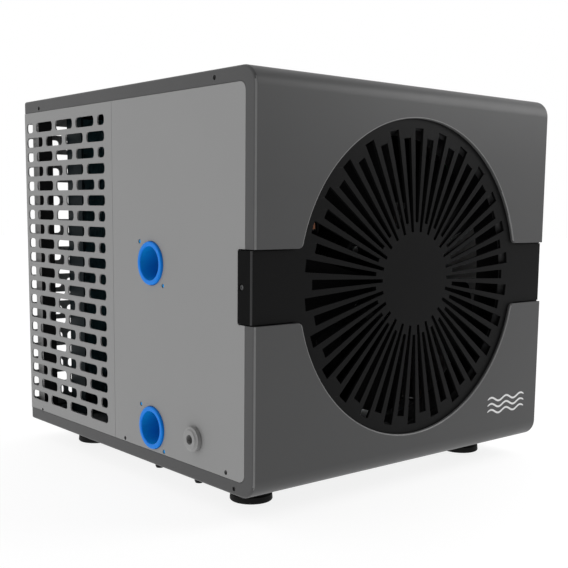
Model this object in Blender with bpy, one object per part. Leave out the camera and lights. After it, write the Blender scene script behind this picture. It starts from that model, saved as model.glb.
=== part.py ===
"""Small swimming-pool heat pump: a two-part cover, a round fan grille with a side-to-side band, grey side
panels, a slotted guard round the back, and the fan, refrigerant and water parts inside.

Lengths are millimetres in the case's own frame: x to the right from the left side, y back from the front
face, z up from the underside of the case. One empty at that corner puts the case on its feet, centred on
the origin.
"""

import math

import bmesh
import bpy
from mathutils import Vector

MM = 0.001
GAP = 0.3  # clearance left between neighbouring solids

# Case
WIDTH, DEPTH, HEIGHT = 318.0, 336.0, 290.0
COVER_WALL = 1.5
COVER_FILLET = 14.0
LIP = 10.3  # width of the cover's edge that frames each side
LIP_FILLET = 6.0
SHEET = 1.2  # side panels and guard
PANEL_EDGE = LIP + GAP  # where the sheets start inside the lip
SEAM = 182.0  # depth of the joint between side panel and guard

# Round opening, grille and band
FAN_X, FAN_Z = WIDTH / 2, HEIGHT / 2
OPENING_RADIUS = 119.8
BAND_HEIGHT = 51.0
BAND_WRAP = 17.5
BAND_PROUD = 0.8
GRILLE_FACE, GRILLE_WALL = 2.9, 2.2
GRILLE_RADIUS, RIM_STEPS = 126.0, 30
SLOTS = 26  # of each of the two slot lengths
LONG_SLOT = (43.0, 3.0, 113.0, 9.2)  # inner radius, inner width, outer radius, outer width
SHORT_SLOT = (35.8, 2.5, 106.0, 7.4)

# Guard slots
SLOT_ROWS, ROW_PITCH = 20, 12.76
SLOT_LENGTH, SLOT_HEIGHT = 30.4, 8.4
SIDE_PITCH, SIDE_COLUMNS = 36.3, 5
BACK_COLUMNS = 9
BACK_PITCH = WIDTH / BACK_COLUMNS
SEAM_STRIP, SIDE_STRIP, BACK_STRIP = 11.5, 4.7, 1.6  # plain strips at the seam and on each side of a fold
SIDE_OFFSET = 1.6  # how far in front of the fold the side slots' first column is centred
SHORTEST_SLOT = 8.0

# Water unions and cable gland, on the left side
UNION_Y, UNION_OUTLET_Z, UNION_INLET_Z = 126.0, 155.5, 29.0
UNION_RADIUS, UNION_BORE, UNION_PROUD, UNION_EDGE = 16.5, 12.75, 2.0, 0.8
UNION_EAR, UNION_WAIST = 34.0, 26.0  # half diagonals of the flange
EAR_FILLET, WAIST_FILLET = 6.0, 14.0
UNION_FLANGE, FLANGE_WALL, UNION_END = 2.8, 3.0, 24.0  # depths of the flange's face and of the inner end
GASKET_WIDTH = 1.5
GLAND_Y, GLAND_Z, GLAND_RADIUS, GLAND_BORE, GLAND_PROUD = 69.5, 31.0, 9.4, 3.5, 4.7
GLAND_EDGE, GLAND_NECK, GLAND_END = 1.0, 6.2, 14.0
LOCKNUT_RADIUS, LOCKNUT_WALL = 11.0, 5.0

# Base pan, feet and screws
PAN_FLOOR, PAN_RIM = 3.4, 9.3  # tops of the base pan's sheet and of its rim
PAN_SIDE, PAN_FRONT, PAN_BACK = 8.0, 14.5, 3.0  # the pan's distance from the case's outside
FOOT_HEIGHT, FOOT_RADIUS, FOOT_EDGE = 17.0, 16.3, 1.0
FOOT_IN_X, FOOT_IN_Y = 39.0, 52.0
SCREW_RADIUS, SCREW_HEAD, SCREW_EDGE = 3.6, 3.2, 0.6
SCREW_IN_X, BASE_SCREWS_Y = 6.0, (72.0, 125.0)

# Fan, its motor and shroud, as depths behind the front face
FAN_RADIUS, HUB_RADIUS = 106.0, 30.0
HUB_FRONT, HUB_BACK = 14.0, 40.0
HUB_NOSE, HUB_WALL, HUB_WEB, BOSS_WALL = 6.0, 3.0, 8.0, 4.0
BLADES, BLADE_WALL, BLADE_ROOT_DEPTH = 5, 2.4, 4.0
BLADE_ROWS, BLADE_COLUMNS = 5, 4
BLADE_ROOT, BLADE_TIP = (38.0, 122.0, 18.0), (44.0, 117.0, 14.0)  # chord and middle in degrees, rise
NUT_RADIUS, NUT_FRONT, NUT_EDGE = 8.0, 8.0, 1.2
SHAFT_RADIUS, SHAFT_FRONT, SHAFT_BACK = 4.0, 10.5, 72.0
MOTOR_RADIUS, MOTOR_FRONT, MOTOR_BACK, MOTOR_EDGE = 40.0, 50.0, 98.0, 4.0
MOTOR_NOSE_RADIUS, MOTOR_NOSE = 12.0, 6.0
STRAP_WIDTH, STRAP_WALL, STRAP_REACH = 28.0, 2.0, 24.0
SHROUD_RADIUS, SHROUD_FLANGE, SHROUD_WALL = 112.0, 134.0, 1.8
SHROUD_FRONT, SHROUD_BACK = 6.2, 34.0

# Water heat exchanger and its flow switch
EXCHANGER_X, EXCHANGER_RADIUS, EXCHANGER_TOP = 66.0, 36.0, 214.0
CAP_RADIUS, CAP_WALL, CAP_TOP, CAP_EDGE = 39.0, 6.0, 225.3, 5.0
SWITCH = (22.0, 36.0, 96.0, 1.0)  # width, height, bottom, clearance

# Compressor, suction bottle and pipes
COMPRESSOR_X, COMPRESSOR_Y, COMPRESSOR_RADIUS = 240.0, 184.0, 46.0
COMPRESSOR_BASE, COMPRESSOR_TOP, CAN_SHOULDER = 17.0, 178.0, 15.0
FOOT_PLATE_REACH, FOOT_PLATE_WALL, FOOT_PLATE_FILLET = 78.0, 3.0, 12.0
GROMMET_RADIUS, GROMMET_REACH = 8.0, 52.0
BOTTLE_X, BOTTLE_Y, BOTTLE_RADIUS = COMPRESSOR_X - 66.0, COMPRESSOR_Y + 22.0, 16.0
BOTTLE_BASE, BOTTLE_TOP, BOTTLE_SHOULDER = 52.0, 147.0, 7.0
TERMINAL_RADIUS, TERMINAL_HEIGHT, TERMINAL_EDGE = 17.0, 17.0, 4.0
GAS_PIPE, LIQUID_PIPE, EXPANSION_PIPE = 4.0, 3.2, 2.2
PIPE_CLEARANCE = 1.2
DRIER_X, DRIER_Y, DRIER_RADIUS, DRIER_NECK = 296.0, 268.0, 9.0, 5.0
DRIER_BASE, DRIER_TOP, DRIER_TAPER = 150.0, 208.0, 8.0

# Evaporator and the angle posts behind the rear corners
COIL_LEFT, COIL_FRONT, COIL_BACK, COIL_TOP = 40.0, 304.0, 327.0, 276.0
END_WALL, END_OVERHANG = 1.5, 2.0
POST_WIDTH, POST_DEPTH, POST_IN, POST_FRONT = 13.5, 11.3, 7.0, 323.0

# Electric box and what it holds
BOX_LOW, BOX_HIGH, BOX_WALL = (206.0, 124.0, 204.0), (306.0, 256.0, 262.0), 2.0
BOARD_LOW, BOARD_HIGH, BOARD_WALL, BOARD_STANDOFF = (214.0, 132.0), (298.0, 206.0), 2.0, 6.0
TERMINALS_LOW, TERMINALS_HIGH, TERMINALS_HEIGHT = (212.0, 214.0), (248.0, 246.0), 22.0
CAPACITOR_RADIUS, CAPACITOR_ENDS, CAPACITOR_Y = 15.0, (254.0, 302.0), 232.0

# Control panel, on the right side
BEZEL = (45.0, 195.0, 125.0, 245.0)  # front, bottom, rear, top
BEZEL_PROUD, BEZEL_FILLET, BEZEL_OVERLAP = 3.5, 6.0, 3.0
DISPLAY = (57.0, 219.0, 113.0, 238.0)
PANE_SUNK = 1.0
MODULE_FACE, MODULE_BACK, MODULE_IN = 5.4, 14.4, 5.0
BUTTON_RADIUS, BUTTON_Z, BUTTON_PROUD = 5.0, 206.0, 4.7
BUTTON_STEM, BUTTON_FLANGE, BUTTON_EDGE = 4.0, 1.3, 0.6
BUTTONS = {"power_button": 61.0, "mode_button": 77.0, "down_button": 93.0, "up_button": 109.0}

FINISHES = {  # colour, roughness, metallic
    "dark_cover": ((0.09, 0.09, 0.092), 0.45, 0.0),
    "grey_panel": ((0.28, 0.28, 0.28), 0.5, 0.0),
    "black_plastic": ((0.010, 0.010, 0.011), 0.45, 0.0),
    "fan_plastic": ((0.020, 0.020, 0.021), 0.5, 0.0),
    "blue_plastic": ((0.02, 0.26, 0.95), 0.3, 0.0),
    "grey_plastic": ((0.22, 0.22, 0.22), 0.5, 0.0),
    "white_plastic": ((0.75, 0.75, 0.73), 0.5, 0.0),
    "rubber": ((0.012, 0.012, 0.012), 0.8, 0.0),
    "steel": ((0.55, 0.55, 0.55), 0.35, 1.0),
    "black_steel": ((0.015, 0.015, 0.016), 0.4, 0.0),
    "aluminium": ((0.75, 0.76, 0.77), 0.35, 1.0),
    "copper": ((0.80, 0.36, 0.20), 0.3, 1.0),
    "board": ((0.02, 0.16, 0.06), 0.5, 0.0),
    "lens": ((0.01, 0.012, 0.015), 0.1, 0.0),
}


def clear_scene():
    for thing in list(bpy.data.objects):
        bpy.data.objects.remove(thing)


def case_corner():
    """The empty that carries the case's own frame: its left, front, bottom corner."""
    corner = bpy.data.objects.new("case_corner", None)
    corner.location = Vector((-WIDTH / 2, -DEPTH / 2, FOOT_HEIGHT)) * MM
    bpy.context.collection.objects.link(corner)
    return corner


def finish(name):
    found = bpy.data.materials.get(name)
    if found:
        return found
    colour, roughness, metallic = FINISHES[name]
    material = bpy.data.materials.new(name)
    material.use_nodes = True
    shader = material.node_tree.nodes["Principled BSDF"]
    shader.inputs["Base Color"].default_value = (*colour, 1.0)
    shader.inputs["Roughness"].default_value = roughness
    shader.inputs["Metallic"].default_value = metallic
    return material


def add_object(name, bm, slot, centre=(0, 0, 0), smooth=False):
    """Makes one object from a bmesh in millimetres about centre, a place in the case's frame."""
    bmesh.ops.remove_doubles(bm, verts=bm.verts, dist=0.002)
    bmesh.ops.recalc_face_normals(bm, faces=bm.faces)
    bmesh.ops.scale(bm, vec=(MM, MM, MM), verts=bm.verts)
    mesh = bpy.data.meshes.new(name)
    bm.to_mesh(mesh)
    bm.free()
    if smooth:
        mesh.shade_smooth()
        mesh.set_sharp_from_angle(angle=math.radians(35))
    mesh.materials.append(finish(slot))
    thing = bpy.data.objects.new(name, mesh)
    bpy.context.collection.objects.link(thing)
    thing.parent = corner
    thing.location = Vector(centre) * MM
    return thing


def combine(thing, others, operation="DIFFERENCE"):
    """Cuts or joins helper objects, which the build leaves out, into thing."""
    for other in others:
        other.hide_render = True
        other.display_type = "WIRE"
        step = thing.modifiers.new(operation.lower(), "BOOLEAN")
        step.operation = operation
        step.solver = "EXACT"
        step.object = other
    return thing


# Outlines


def filleted(corners):
    """A closed outline from (u, v, radius) corners, with an arc at each corner that has a radius."""
    points = []
    for i, (u, v, radius) in enumerate(corners):
        here = Vector((u, v))
        if radius == 0:
            points.append((u, v))
            continue
        before = (Vector(corners[i - 1][:2]) - here).normalized()
        after = (Vector(corners[(i + 1) % len(corners)][:2]) - here).normalized()
        half = before.angle(after) / 2
        middle = here + (before + after).normalized() * (radius / math.sin(half))
        start = here + before * (radius / math.tan(half)) - middle
        end = here + after * (radius / math.tan(half)) - middle
        turn = start.angle(end)
        steps = max(2, round(radius / 3))
        for k in range(steps + 1):
            part = k / steps
            arc = start * math.sin((1 - part) * turn) + end * math.sin(part * turn)
            points.append(tuple(middle + arc / math.sin(turn)))
    return points


def circle(u, v, radius, sides=24):
    angles = [2 * math.pi * (k + 0.5) / sides for k in range(sides)]
    return [(u + radius * math.cos(a), v + radius * math.sin(a)) for a in angles]


def rectangle(u0, v0, u1, v1, radius=0):
    return filleted([(u0, v0, radius), (u1, v0, radius), (u1, v1, radius), (u0, v1, radius)])


def sheet_mesh(outline, holes, bm=None):
    """A flat, filled, one-sided bmesh in its own x and y, with holes; it is added to bm if there is one."""
    curve = bpy.data.curves.new("outline", "CURVE")
    curve.dimensions = "2D"
    curve.fill_mode = "BOTH"
    for loop in (outline, *holes):
        spline = curve.splines.new("POLY")
        spline.points.add(len(loop) - 1)
        for point, (u, v) in zip(spline.points, loop):
            point.co = (u, v, 0, 1)
        spline.use_cyclic_u = True
    drawing = bpy.data.objects.new("outline", curve)
    bm = bm or bmesh.new()
    bm.from_mesh(drawing.to_mesh())
    bpy.data.objects.remove(drawing)
    bpy.data.curves.remove(curve)
    bmesh.ops.remove_doubles(bm, verts=bm.verts, dist=0.002)
    return bm


PLANES = {  # where an outline's u, v and the depth w go
    "X": lambda u, v, w: (w, u, v),
    "Y": lambda u, v, w: (u, w, v),
    "Z": lambda u, v, w: (u, v, w),
}


def plate(name, axis, low, high, outline, slot, holes=(), centre=(0, 0, 0)):
    """An outline with holes, extruded along axis from low to high."""
    bm = sheet_mesh(outline, holes)
    near = list(bm.faces)
    far = bmesh.ops.extrude_face_region(bm, geom=near, use_keep_orig=True)["geom"]
    far_verts = {v for v in far if isinstance(v, bmesh.types.BMVert)}
    for vert in bm.verts:
        depth = high if vert in far_verts else low
        vert.co = PLANES[axis](vert.co.x, vert.co.y, depth)
    return add_object(name, bm, slot, centre)


def block(name, low, high, slot, radius=0):
    outline = rectangle(low[0], low[1], high[0], high[1], radius)
    return plate(name, "Z", low[2], high[2], outline, slot)


def turned(name, axis, centre, profile, slot, sides=24, ring=False):
    """A profile of (radius, height) points turned round axis; a ring's profile closes on itself."""
    bm = bmesh.new()
    rows = []
    for radius, height in profile:
        if radius == 0:
            rows.append([bm.verts.new(PLANES[axis](0, 0, height))])
            continue
        points = circle(0, 0, radius, sides)
        rows.append([bm.verts.new(PLANES[axis](u, v, height)) for u, v in points])
    pairs = list(zip(rows, rows[1:]))
    if ring:
        pairs.append((rows[-1], rows[0]))
    for one, two in pairs:
        for k in range(sides):
            after = (k + 1) % sides
            corners = [one[k % len(one)], one[after % len(one)]]
            corners += [two[after % len(two)], two[k % len(two)]]
            bm.faces.new(list(dict.fromkeys(corners)))
    return add_object(name, bm, slot, centre, smooth=True)


def rod(radius, low, high, low_edge=0, high_edge=0):
    """The profile of a solid cylinder whose two edges are chamfered by so much."""
    points = [(0, low), (radius - low_edge, low), (radius, low + low_edge), (radius, high - high_edge)]
    points += [(radius - high_edge, high), (0, high)]
    return list(dict.fromkeys(points))


def tube(bore, radius, low, high, edge=0):
    """A ring's closed profile, with the outer edge of its low end chamfered."""
    points = [(bore, low), (radius - edge, low), (radius, low + edge), (radius, high), (bore, high)]
    return list(dict.fromkeys(points))


def pipe(name, points, radius, slot):
    """A tube of copper along a smooth curve through points."""
    route = smooth_route([Vector(p) for p in points], spacing=radius * 4)
    curve = bpy.data.curves.new(name, "CURVE")
    curve.dimensions = "3D"
    curve.bevel_depth = radius * MM
    curve.bevel_resolution = 2
    curve.use_fill_caps = True
    spline = curve.splines.new("POLY")
    spline.points.add(len(route) - 1)
    for point, place in zip(spline.points, route):
        point.co = (*(place * MM), 1)
    curve.materials.append(finish(slot))
    thing = bpy.data.objects.new(name, curve)
    bpy.context.collection.objects.link(thing)
    thing.parent = corner
    return thing


def smooth_route(points, spacing):
    """Points along a curve through the given ones, about spacing apart."""
    ends = [points[0] * 2 - points[1], *points, points[-1] * 2 - points[-2]]
    route = [points[0]]
    for a, b, c, d in zip(ends, ends[1:], ends[2:], ends[3:]):
        steps = max(2, round((c - b).length / spacing))
        for k in range(1, steps + 1):
            t = k / steps
            cubic = b * 2 + (c - a) * t + (a * 2 - b * 5 + c * 4 - d) * t**2
            route.append((cubic + (b * 3 - a - c * 3 + d) * t**3) / 2)
    return route


# Case


def cover_half(name, near, far):
    """One half of the cover, from its edge at the band (near) to its flat side (far)."""
    inward = 1 if far > near else -1
    wall, lip = COVER_WALL * inward, LIP * inward
    shape = filleted([(0, near, 0), (DEPTH, near, 0), (DEPTH, far, 0), (0, far, COVER_FILLET)])
    half = plate(name, "X", 0, WIDTH, shape, "dark_cover")
    inner = COVER_FILLET - COVER_WALL
    hollow = filleted([
        (COVER_WALL, near - wall, 0),
        (DEPTH - COVER_WALL, near - wall, 0),
        (DEPTH - COVER_WALL, far - wall, 0),
        (COVER_WALL, far - wall, inner),
    ])
    window = filleted([
        (LIP, near - lip, 0),
        (DEPTH + LIP, near - lip, 0),
        (DEPTH + LIP, far - lip, 0),
        (LIP, far - lip, LIP_FILLET),
    ])
    opening = circle(FAN_X, FAN_Z, OPENING_RADIUS, 96)
    cutters = [
        plate(name + "_hollow", "X", COVER_WALL, WIDTH - COVER_WALL, hollow, "dark_cover"),
        plate(name + "_window", "X", -LIP, WIDTH + LIP, window, "dark_cover"),
        plate(name + "_opening", "Y", -LIP, LIP, opening, "dark_cover"),
    ]
    return combine(half, cutters)


def grille_slot(index, inner, inner_width, outer, outer_width):
    """One straight-sided slot; even indexes are the long ones, the first pointing straight up."""
    angle = math.pi * index / SLOTS
    along = Vector((math.sin(angle), math.cos(angle)))
    across = Vector((along.y, -along.x))
    centre = Vector((FAN_X, FAN_Z))
    ends = [(inner, -inner_width), (outer, -outer_width), (outer, outer_width), (inner, inner_width)]
    return [tuple(centre + along * r + across * w / 2) for r, w in ends]


def front_grille():
    """The slotted disc, with the band that runs across it and wraps on to both sides."""
    slots = []
    for k in range(SLOTS):
        slots.append(grille_slot(2 * k, *LONG_SLOT))
        slots.append(grille_slot(2 * k + 1, *SHORT_SLOT))
    half_band = BAND_HEIGHT / 2 - GAP
    low, high = FAN_Z - half_band, FAN_Z + half_band
    left, right = -BAND_PROUD, WIDTH + BAND_PROUD
    start = math.asin(half_band / GRILLE_RADIUS)
    turn = math.pi - 2 * start
    angles = [start + turn * k / RIM_STEPS for k in range(RIM_STEPS + 1)]
    upper = [(FAN_X + GRILLE_RADIUS * math.cos(a), FAN_Z + GRILLE_RADIUS * math.sin(a)) for a in angles]
    lower = [(2 * FAN_X - u, 2 * FAN_Z - v) for u, v in upper]
    outline = [(right, low), (right, high), *upper, (left, high), (left, low), *lower]
    back = GRILLE_FACE + GRILLE_WALL
    grille = plate("front_grille", "Y", GRILLE_FACE, back, outline, "black_plastic", slots)
    wraps = []
    for side, x in (("left", left), ("right", right - GRILLE_WALL)):
        corners = (x, GRILLE_FACE, low), (x + GRILLE_WALL, BAND_WRAP, high)
        wraps.append(block(side + "_wrap", *corners, "black_plastic"))
    return combine(grille, wraps, "UNION")


def side_panel_outline():
    """The plain front part of a side, with a notch that the band wraps into."""
    notch = BAND_HEIGHT / 2
    top, bottom = HEIGHT - PANEL_EDGE, PANEL_EDGE
    return filleted([
        (SEAM - GAP, bottom, 0),
        (SEAM - GAP, top, 0),
        (PANEL_EDGE, top, LIP_FILLET),
        (PANEL_EDGE, FAN_Z + notch, 0),
        (BAND_WRAP + GAP, FAN_Z + notch, 0),
        (BAND_WRAP + GAP, FAN_Z - notch, 0),
        (PANEL_EDGE, FAN_Z - notch, 0),
        (PANEL_EDGE, bottom, LIP_FILLET),
    ])


def side_panels():
    holes = [
        circle(UNION_Y, UNION_OUTLET_Z, UNION_RADIUS + GAP, 20),
        circle(UNION_Y, UNION_INLET_Z, UNION_RADIUS + GAP, 20),
        circle(GLAND_Y, GLAND_Z, GLAND_NECK + GAP, 12),
    ]
    outline = side_panel_outline()
    plate("left_side_panel", "X", 0, SHEET, outline, "grey_panel", holes)
    front, bottom, rear, top = BEZEL
    under = BEZEL_OVERLAP
    window = [rectangle(front + under, bottom + under, rear - under, top - under)]
    plate("right_side_panel", "X", WIDTH - SHEET, WIDTH, outline, "grey_panel", window)


def guard_slots(start, end, pitch, columns, first):
    """One flat face's staggered slots that fit from start to end, as (start, low, end, high) corners."""
    slots = []
    for row in range(SLOT_ROWS):
        v = FAN_Z + ((SLOT_ROWS - 1) / 2 - row) * ROW_PITCH
        for k in range(columns):
            u = first + (k + 0.5 * (row % 2)) * pitch
            near, far = max(start, u - SLOT_LENGTH / 2), min(end, u + SLOT_LENGTH / 2)
            if far - near > SHORTEST_SLOT:
                slots.append((near, v - SLOT_HEIGHT / 2, far, v + SLOT_HEIGHT / 2))
    return slots


def rear_guard():
    """One slotted sheet folded into a U: the back, and a return on each side up to the panel's seam."""
    half = WIDTH / 2
    reach = half + DEPTH - SEAM
    back = guard_slots(BACK_STRIP - half, half - BACK_STRIP, BACK_PITCH, BACK_COLUMNS + 1, -half)
    first = half + SIDE_OFFSET
    right = guard_slots(half + SIDE_STRIP, reach - SEAM_STRIP, SIDE_PITCH, SIDE_COLUMNS, first)
    left = [(-end, low, -start, high) for start, low, end, high in right]
    bm = bmesh.new()
    for start, end, slots in ((-reach, -half, left), (-half, half, back), (half, reach, right)):
        outline = rectangle(start, PANEL_EDGE, end, HEIGHT - PANEL_EDGE)
        sheet_mesh(outline, [rectangle(*slot) for slot in slots], bm)
    inner = bmesh.ops.extrude_face_region(bm, geom=list(bm.faces), use_keep_orig=True)["geom"]
    inner_verts = {v for v in inner if isinstance(v, bmesh.types.BMVert)}
    for vert in bm.verts:
        wall = SHEET if vert in inner_verts else 0
        u, v = vert.co.x, vert.co.y
        across = max(wall - half, min(half - wall, u))
        depth = DEPTH - max(wall, abs(u) - half)
        vert.co = (FAN_X + across, depth, v)
    add_object("rear_guard", bm, "grey_panel")


def tray(name, low, high, wall, slot):
    """An open-topped box."""
    outer = block(name, low, high, slot)
    inside_low = (low[0] + wall, low[1] + wall, low[2] + wall)
    inside_high = (high[0] - wall, high[1] - wall, high[2] + wall)
    return combine(outer, [block(name + "_inside", inside_low, inside_high, slot)])


def base():
    low = (PAN_SIDE, PAN_FRONT, COVER_WALL + GAP)
    high = (WIDTH - PAN_SIDE, DEPTH - PAN_BACK, PAN_RIM)
    tray("base_pan", low, high, PAN_FLOOR - low[2], "steel")
    foot = rod(FOOT_RADIUS, -FOOT_HEIGHT, -GAP, FOOT_EDGE)
    for side, x in (("left", FOOT_IN_X), ("right", WIDTH - FOOT_IN_X)):
        for end, y in (("front", FOOT_IN_Y), ("rear", DEPTH - FOOT_IN_Y)):
            turned(f"foot_{end}_{side}", "Z", (x, y, 0), foot, "rubber")
    head = rod(SCREW_RADIUS, -SCREW_HEAD, -GAP, SCREW_EDGE)
    for side, x in (("left", SCREW_IN_X), ("right", WIDTH - SCREW_IN_X)):
        for number, y in enumerate(BASE_SCREWS_Y, 1):
            turned(f"base_screw_{side}_{number}", "Z", (x, y, 0), head, "black_steel", 12)


# Fan


def fan_blade(index):
    """A twisted blade: its chord grows and sweeps forward from hub to tip, while its pitch flattens."""
    bm = bmesh.new()
    inside = HUB_RADIUS - BLADE_ROOT_DEPTH
    faces = []
    for side in (-0.5, 0.5):
        grid = []
        for i in range(BLADE_ROWS + 1):
            part = i / BLADE_ROWS
            radius = inside + (FAN_RADIUS - inside) * part
            chord, middle, rise = Vector(BLADE_ROOT).lerp(Vector(BLADE_TIP), part)
            row = []
            for j in range(BLADE_COLUMNS + 1):
                across = j / BLADE_COLUMNS - 0.5
                angle = math.radians(middle + chord * across + 360 * index / BLADES)
                depth = (HUB_FRONT + HUB_BACK) / 2 + rise * across + BLADE_WALL * side
                row.append(bm.verts.new((radius * math.cos(angle), depth, radius * math.sin(angle))))
            grid.append(row)
        faces.append(grid)
    front, back = faces
    for grid in faces:
        for one, two in zip(grid, grid[1:]):
            for j in range(BLADE_COLUMNS):
                bm.faces.new((one[j], one[j + 1], two[j + 1], two[j]))
    rim = [(0, j) for j in range(BLADE_COLUMNS)]
    rim += [(i, BLADE_COLUMNS) for i in range(BLADE_ROWS)]
    rim += [(BLADE_ROWS, j) for j in range(BLADE_COLUMNS, 0, -1)]
    rim += [(i, 0) for i in range(BLADE_ROWS, 0, -1)]
    for (a, b), (c, d) in zip(rim, rim[1:] + rim[:1]):
        bm.faces.new((front[a][b], front[c][d], back[c][d], back[a][b]))
    return add_object(f"blade_{index}", bm, "fan_plastic", (FAN_X, 0, FAN_Z), smooth=True)


def fan_rotor():
    """The hub, an open cup with a boss on the shaft, and its blades."""
    bore, boss = SHAFT_RADIUS + GAP, SHAFT_RADIUS + GAP + BOSS_WALL
    web_back = HUB_FRONT + HUB_WEB
    hub = [
        (bore, HUB_FRONT),
        (HUB_RADIUS - HUB_NOSE, HUB_FRONT),
        (HUB_RADIUS, HUB_FRONT + HUB_NOSE),
        (HUB_RADIUS, HUB_BACK),
        (HUB_RADIUS - HUB_WALL, HUB_BACK),
        (HUB_RADIUS - HUB_WALL, web_back),
        (boss, web_back),
        (boss, HUB_BACK),
        (bore, HUB_BACK),
    ]
    rotor = turned("fan_rotor", "Y", (FAN_X, 0, FAN_Z), hub, "fan_plastic", 20, ring=True)
    combine(rotor, [fan_blade(k) for k in range(BLADES)], "UNION")


def fan_drive():
    """The nut that holds the rotor, the shaft and the motor, which is open where the shaft goes in."""
    axis = (FAN_X, 0, FAN_Z)
    bore = SHAFT_RADIUS + GAP
    nut = [
        (0, NUT_FRONT),
        (NUT_RADIUS - NUT_EDGE, NUT_FRONT),
        (NUT_RADIUS, NUT_FRONT + NUT_EDGE),
        (NUT_RADIUS, HUB_FRONT - GAP),
        (bore, HUB_FRONT - GAP),
        (bore, SHAFT_FRONT - GAP),
        (0, SHAFT_FRONT - GAP),
    ]
    turned("fan_nut", "Y", axis, nut, "black_plastic", 12)
    turned("motor_shaft", "Y", axis, rod(SHAFT_RADIUS, SHAFT_FRONT, SHAFT_BACK), "steel", 12)
    motor = [
        (0, SHAFT_BACK + GAP),
        (bore, SHAFT_BACK + GAP),
        (bore, MOTOR_FRONT - MOTOR_NOSE),
        (MOTOR_NOSE_RADIUS, MOTOR_FRONT - MOTOR_NOSE),
        (MOTOR_NOSE_RADIUS, MOTOR_FRONT),
        (MOTOR_RADIUS - MOTOR_EDGE, MOTOR_FRONT),
        (MOTOR_RADIUS, MOTOR_FRONT + MOTOR_EDGE),
        (MOTOR_RADIUS, MOTOR_BACK - MOTOR_EDGE),
        (MOTOR_RADIUS - MOTOR_EDGE, MOTOR_BACK),
        (0, MOTOR_BACK),
    ]
    turned("fan_motor", "Y", axis, motor, "steel", 20)


def motor_bracket():
    """A strap from the pan to the top, with a foot at each end."""
    left, right = FAN_X - STRAP_WIDTH / 2, FAN_X + STRAP_WIDTH / 2
    low, high = PAN_FLOOR + GAP, HEIGHT - COVER_WALL - GAP
    near = MOTOR_BACK + GAP
    strap = rectangle(left, low, right, high)
    bracket = plate("motor_bracket", "Y", near, near + STRAP_WALL, strap, "steel")
    ends = []
    for name, z in (("foot", low), ("head", high - STRAP_WALL)):
        corners = (left, near, z), (right, near + STRAP_REACH, z + STRAP_WALL)
        ends.append(block("bracket_" + name, *corners, "steel"))
    combine(bracket, ends, "UNION")


def fan_shroud():
    """The air ring behind the grille, with a flange against the front."""
    flange_back = SHROUD_FRONT + SHROUD_WALL
    ring = [
        (SHROUD_RADIUS, SHROUD_FRONT),
        (SHROUD_FLANGE, SHROUD_FRONT),
        (SHROUD_FLANGE, flange_back),
        (SHROUD_RADIUS + SHROUD_WALL, flange_back),
        (SHROUD_RADIUS + SHROUD_WALL, SHROUD_BACK),
        (SHROUD_RADIUS, SHROUD_BACK),
    ]
    turned("fan_shroud", "Y", (FAN_X, 0, FAN_Z), ring, "black_steel", 36, ring=True)


# Water circuit and cable entry


def water_union(name, height):
    """A flanged socket through the left panel: a ring outside, its bore running in to the exchanger."""
    centre = (0, UNION_Y, height)
    profile = tube(UNION_BORE, UNION_RADIUS, -UNION_PROUD, UNION_END, UNION_EDGE)
    socket = turned(f"water_{name}_union", "X", centre, profile, "blue_plastic", 20, ring=True)
    ear, waist = UNION_EAR / math.sqrt(2), UNION_WAIST / math.sqrt(2)
    flange = filleted([
        (ear, ear, EAR_FILLET),
        (-waist, waist, WAIST_FILLET),
        (-ear, -ear, EAR_FILLET),
        (waist, -waist, WAIST_FILLET),
    ])
    middle = [circle(0, 0, (UNION_BORE + UNION_RADIUS) / 2)]
    depths = UNION_FLANGE, UNION_FLANGE + FLANGE_WALL
    collar = plate(name + "_flange", "X", *depths, flange, "blue_plastic", middle, centre)
    combine(socket, [collar], "UNION")
    inner = UNION_RADIUS + GAP
    seal = tube(inner, inner + GASKET_WIDTH, SHEET + GAP, UNION_FLANGE - GAP)
    turned(f"{name}_gasket", "X", centre, seal, "rubber", 18, ring=True)


def heat_exchanger():
    """The water tank round the refrigerant coil, its two water ports and its caps."""
    low = PAN_FLOOR + GAP
    over = low + CAP_WALL
    centre = (EXCHANGER_X, UNION_Y, 0)
    tank = rod(EXCHANGER_RADIUS, over, EXCHANGER_TOP)
    shell = turned("exchanger_shell", "Z", centre, tank, "grey_plastic", 20)
    port = rod(UNION_RADIUS, UNION_END + GAP, EXCHANGER_X)
    ports = [
        turned(f"port_{height:.0f}", "X", (0, UNION_Y, height), port, "grey_plastic", 14)
        for height in (UNION_OUTLET_Z, UNION_INLET_Z)
    ]
    combine(shell, ports, "UNION")
    bottom = rod(CAP_RADIUS, low, over - GAP)
    turned("exchanger_bottom_cap", "Z", centre, bottom, "grey_plastic", 20)
    top = rod(CAP_RADIUS, EXCHANGER_TOP + GAP, CAP_TOP, 0, CAP_EDGE)
    turned("exchanger_top_cap", "Z", centre, top, "grey_plastic", 20)
    side, height, bottom, gap = SWITCH
    switch_low = (EXCHANGER_X - side / 2, UNION_Y + EXCHANGER_RADIUS + gap, bottom)
    switch_high = (switch_low[0] + side, switch_low[1] + side, bottom + height)
    block("flow_switch", switch_low, switch_high, "black_plastic", 3)


def cable_entry():
    gland = [
        (GLAND_BORE, -GLAND_PROUD),
        (GLAND_RADIUS - GLAND_EDGE, -GLAND_PROUD),
        (GLAND_RADIUS, -GLAND_PROUD + GLAND_EDGE),
        (GLAND_RADIUS, -GAP),
        (GLAND_NECK, -GAP),
        (GLAND_NECK, GLAND_END),
        (GLAND_BORE, GLAND_END),
    ]
    turned("cable_gland", "X", (0, GLAND_Y, GLAND_Z), gland, "grey_plastic", 16, ring=True)
    start = SHEET + GAP
    hexagon = circle(GLAND_Y, GLAND_Z, LOCKNUT_RADIUS, 6)
    hole = [circle(GLAND_Y, GLAND_Z, GLAND_NECK + GAP)]
    plate("gland_locknut", "X", start, start + LOCKNUT_WALL, hexagon, "grey_plastic", hole)


# Refrigerant circuit


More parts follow.
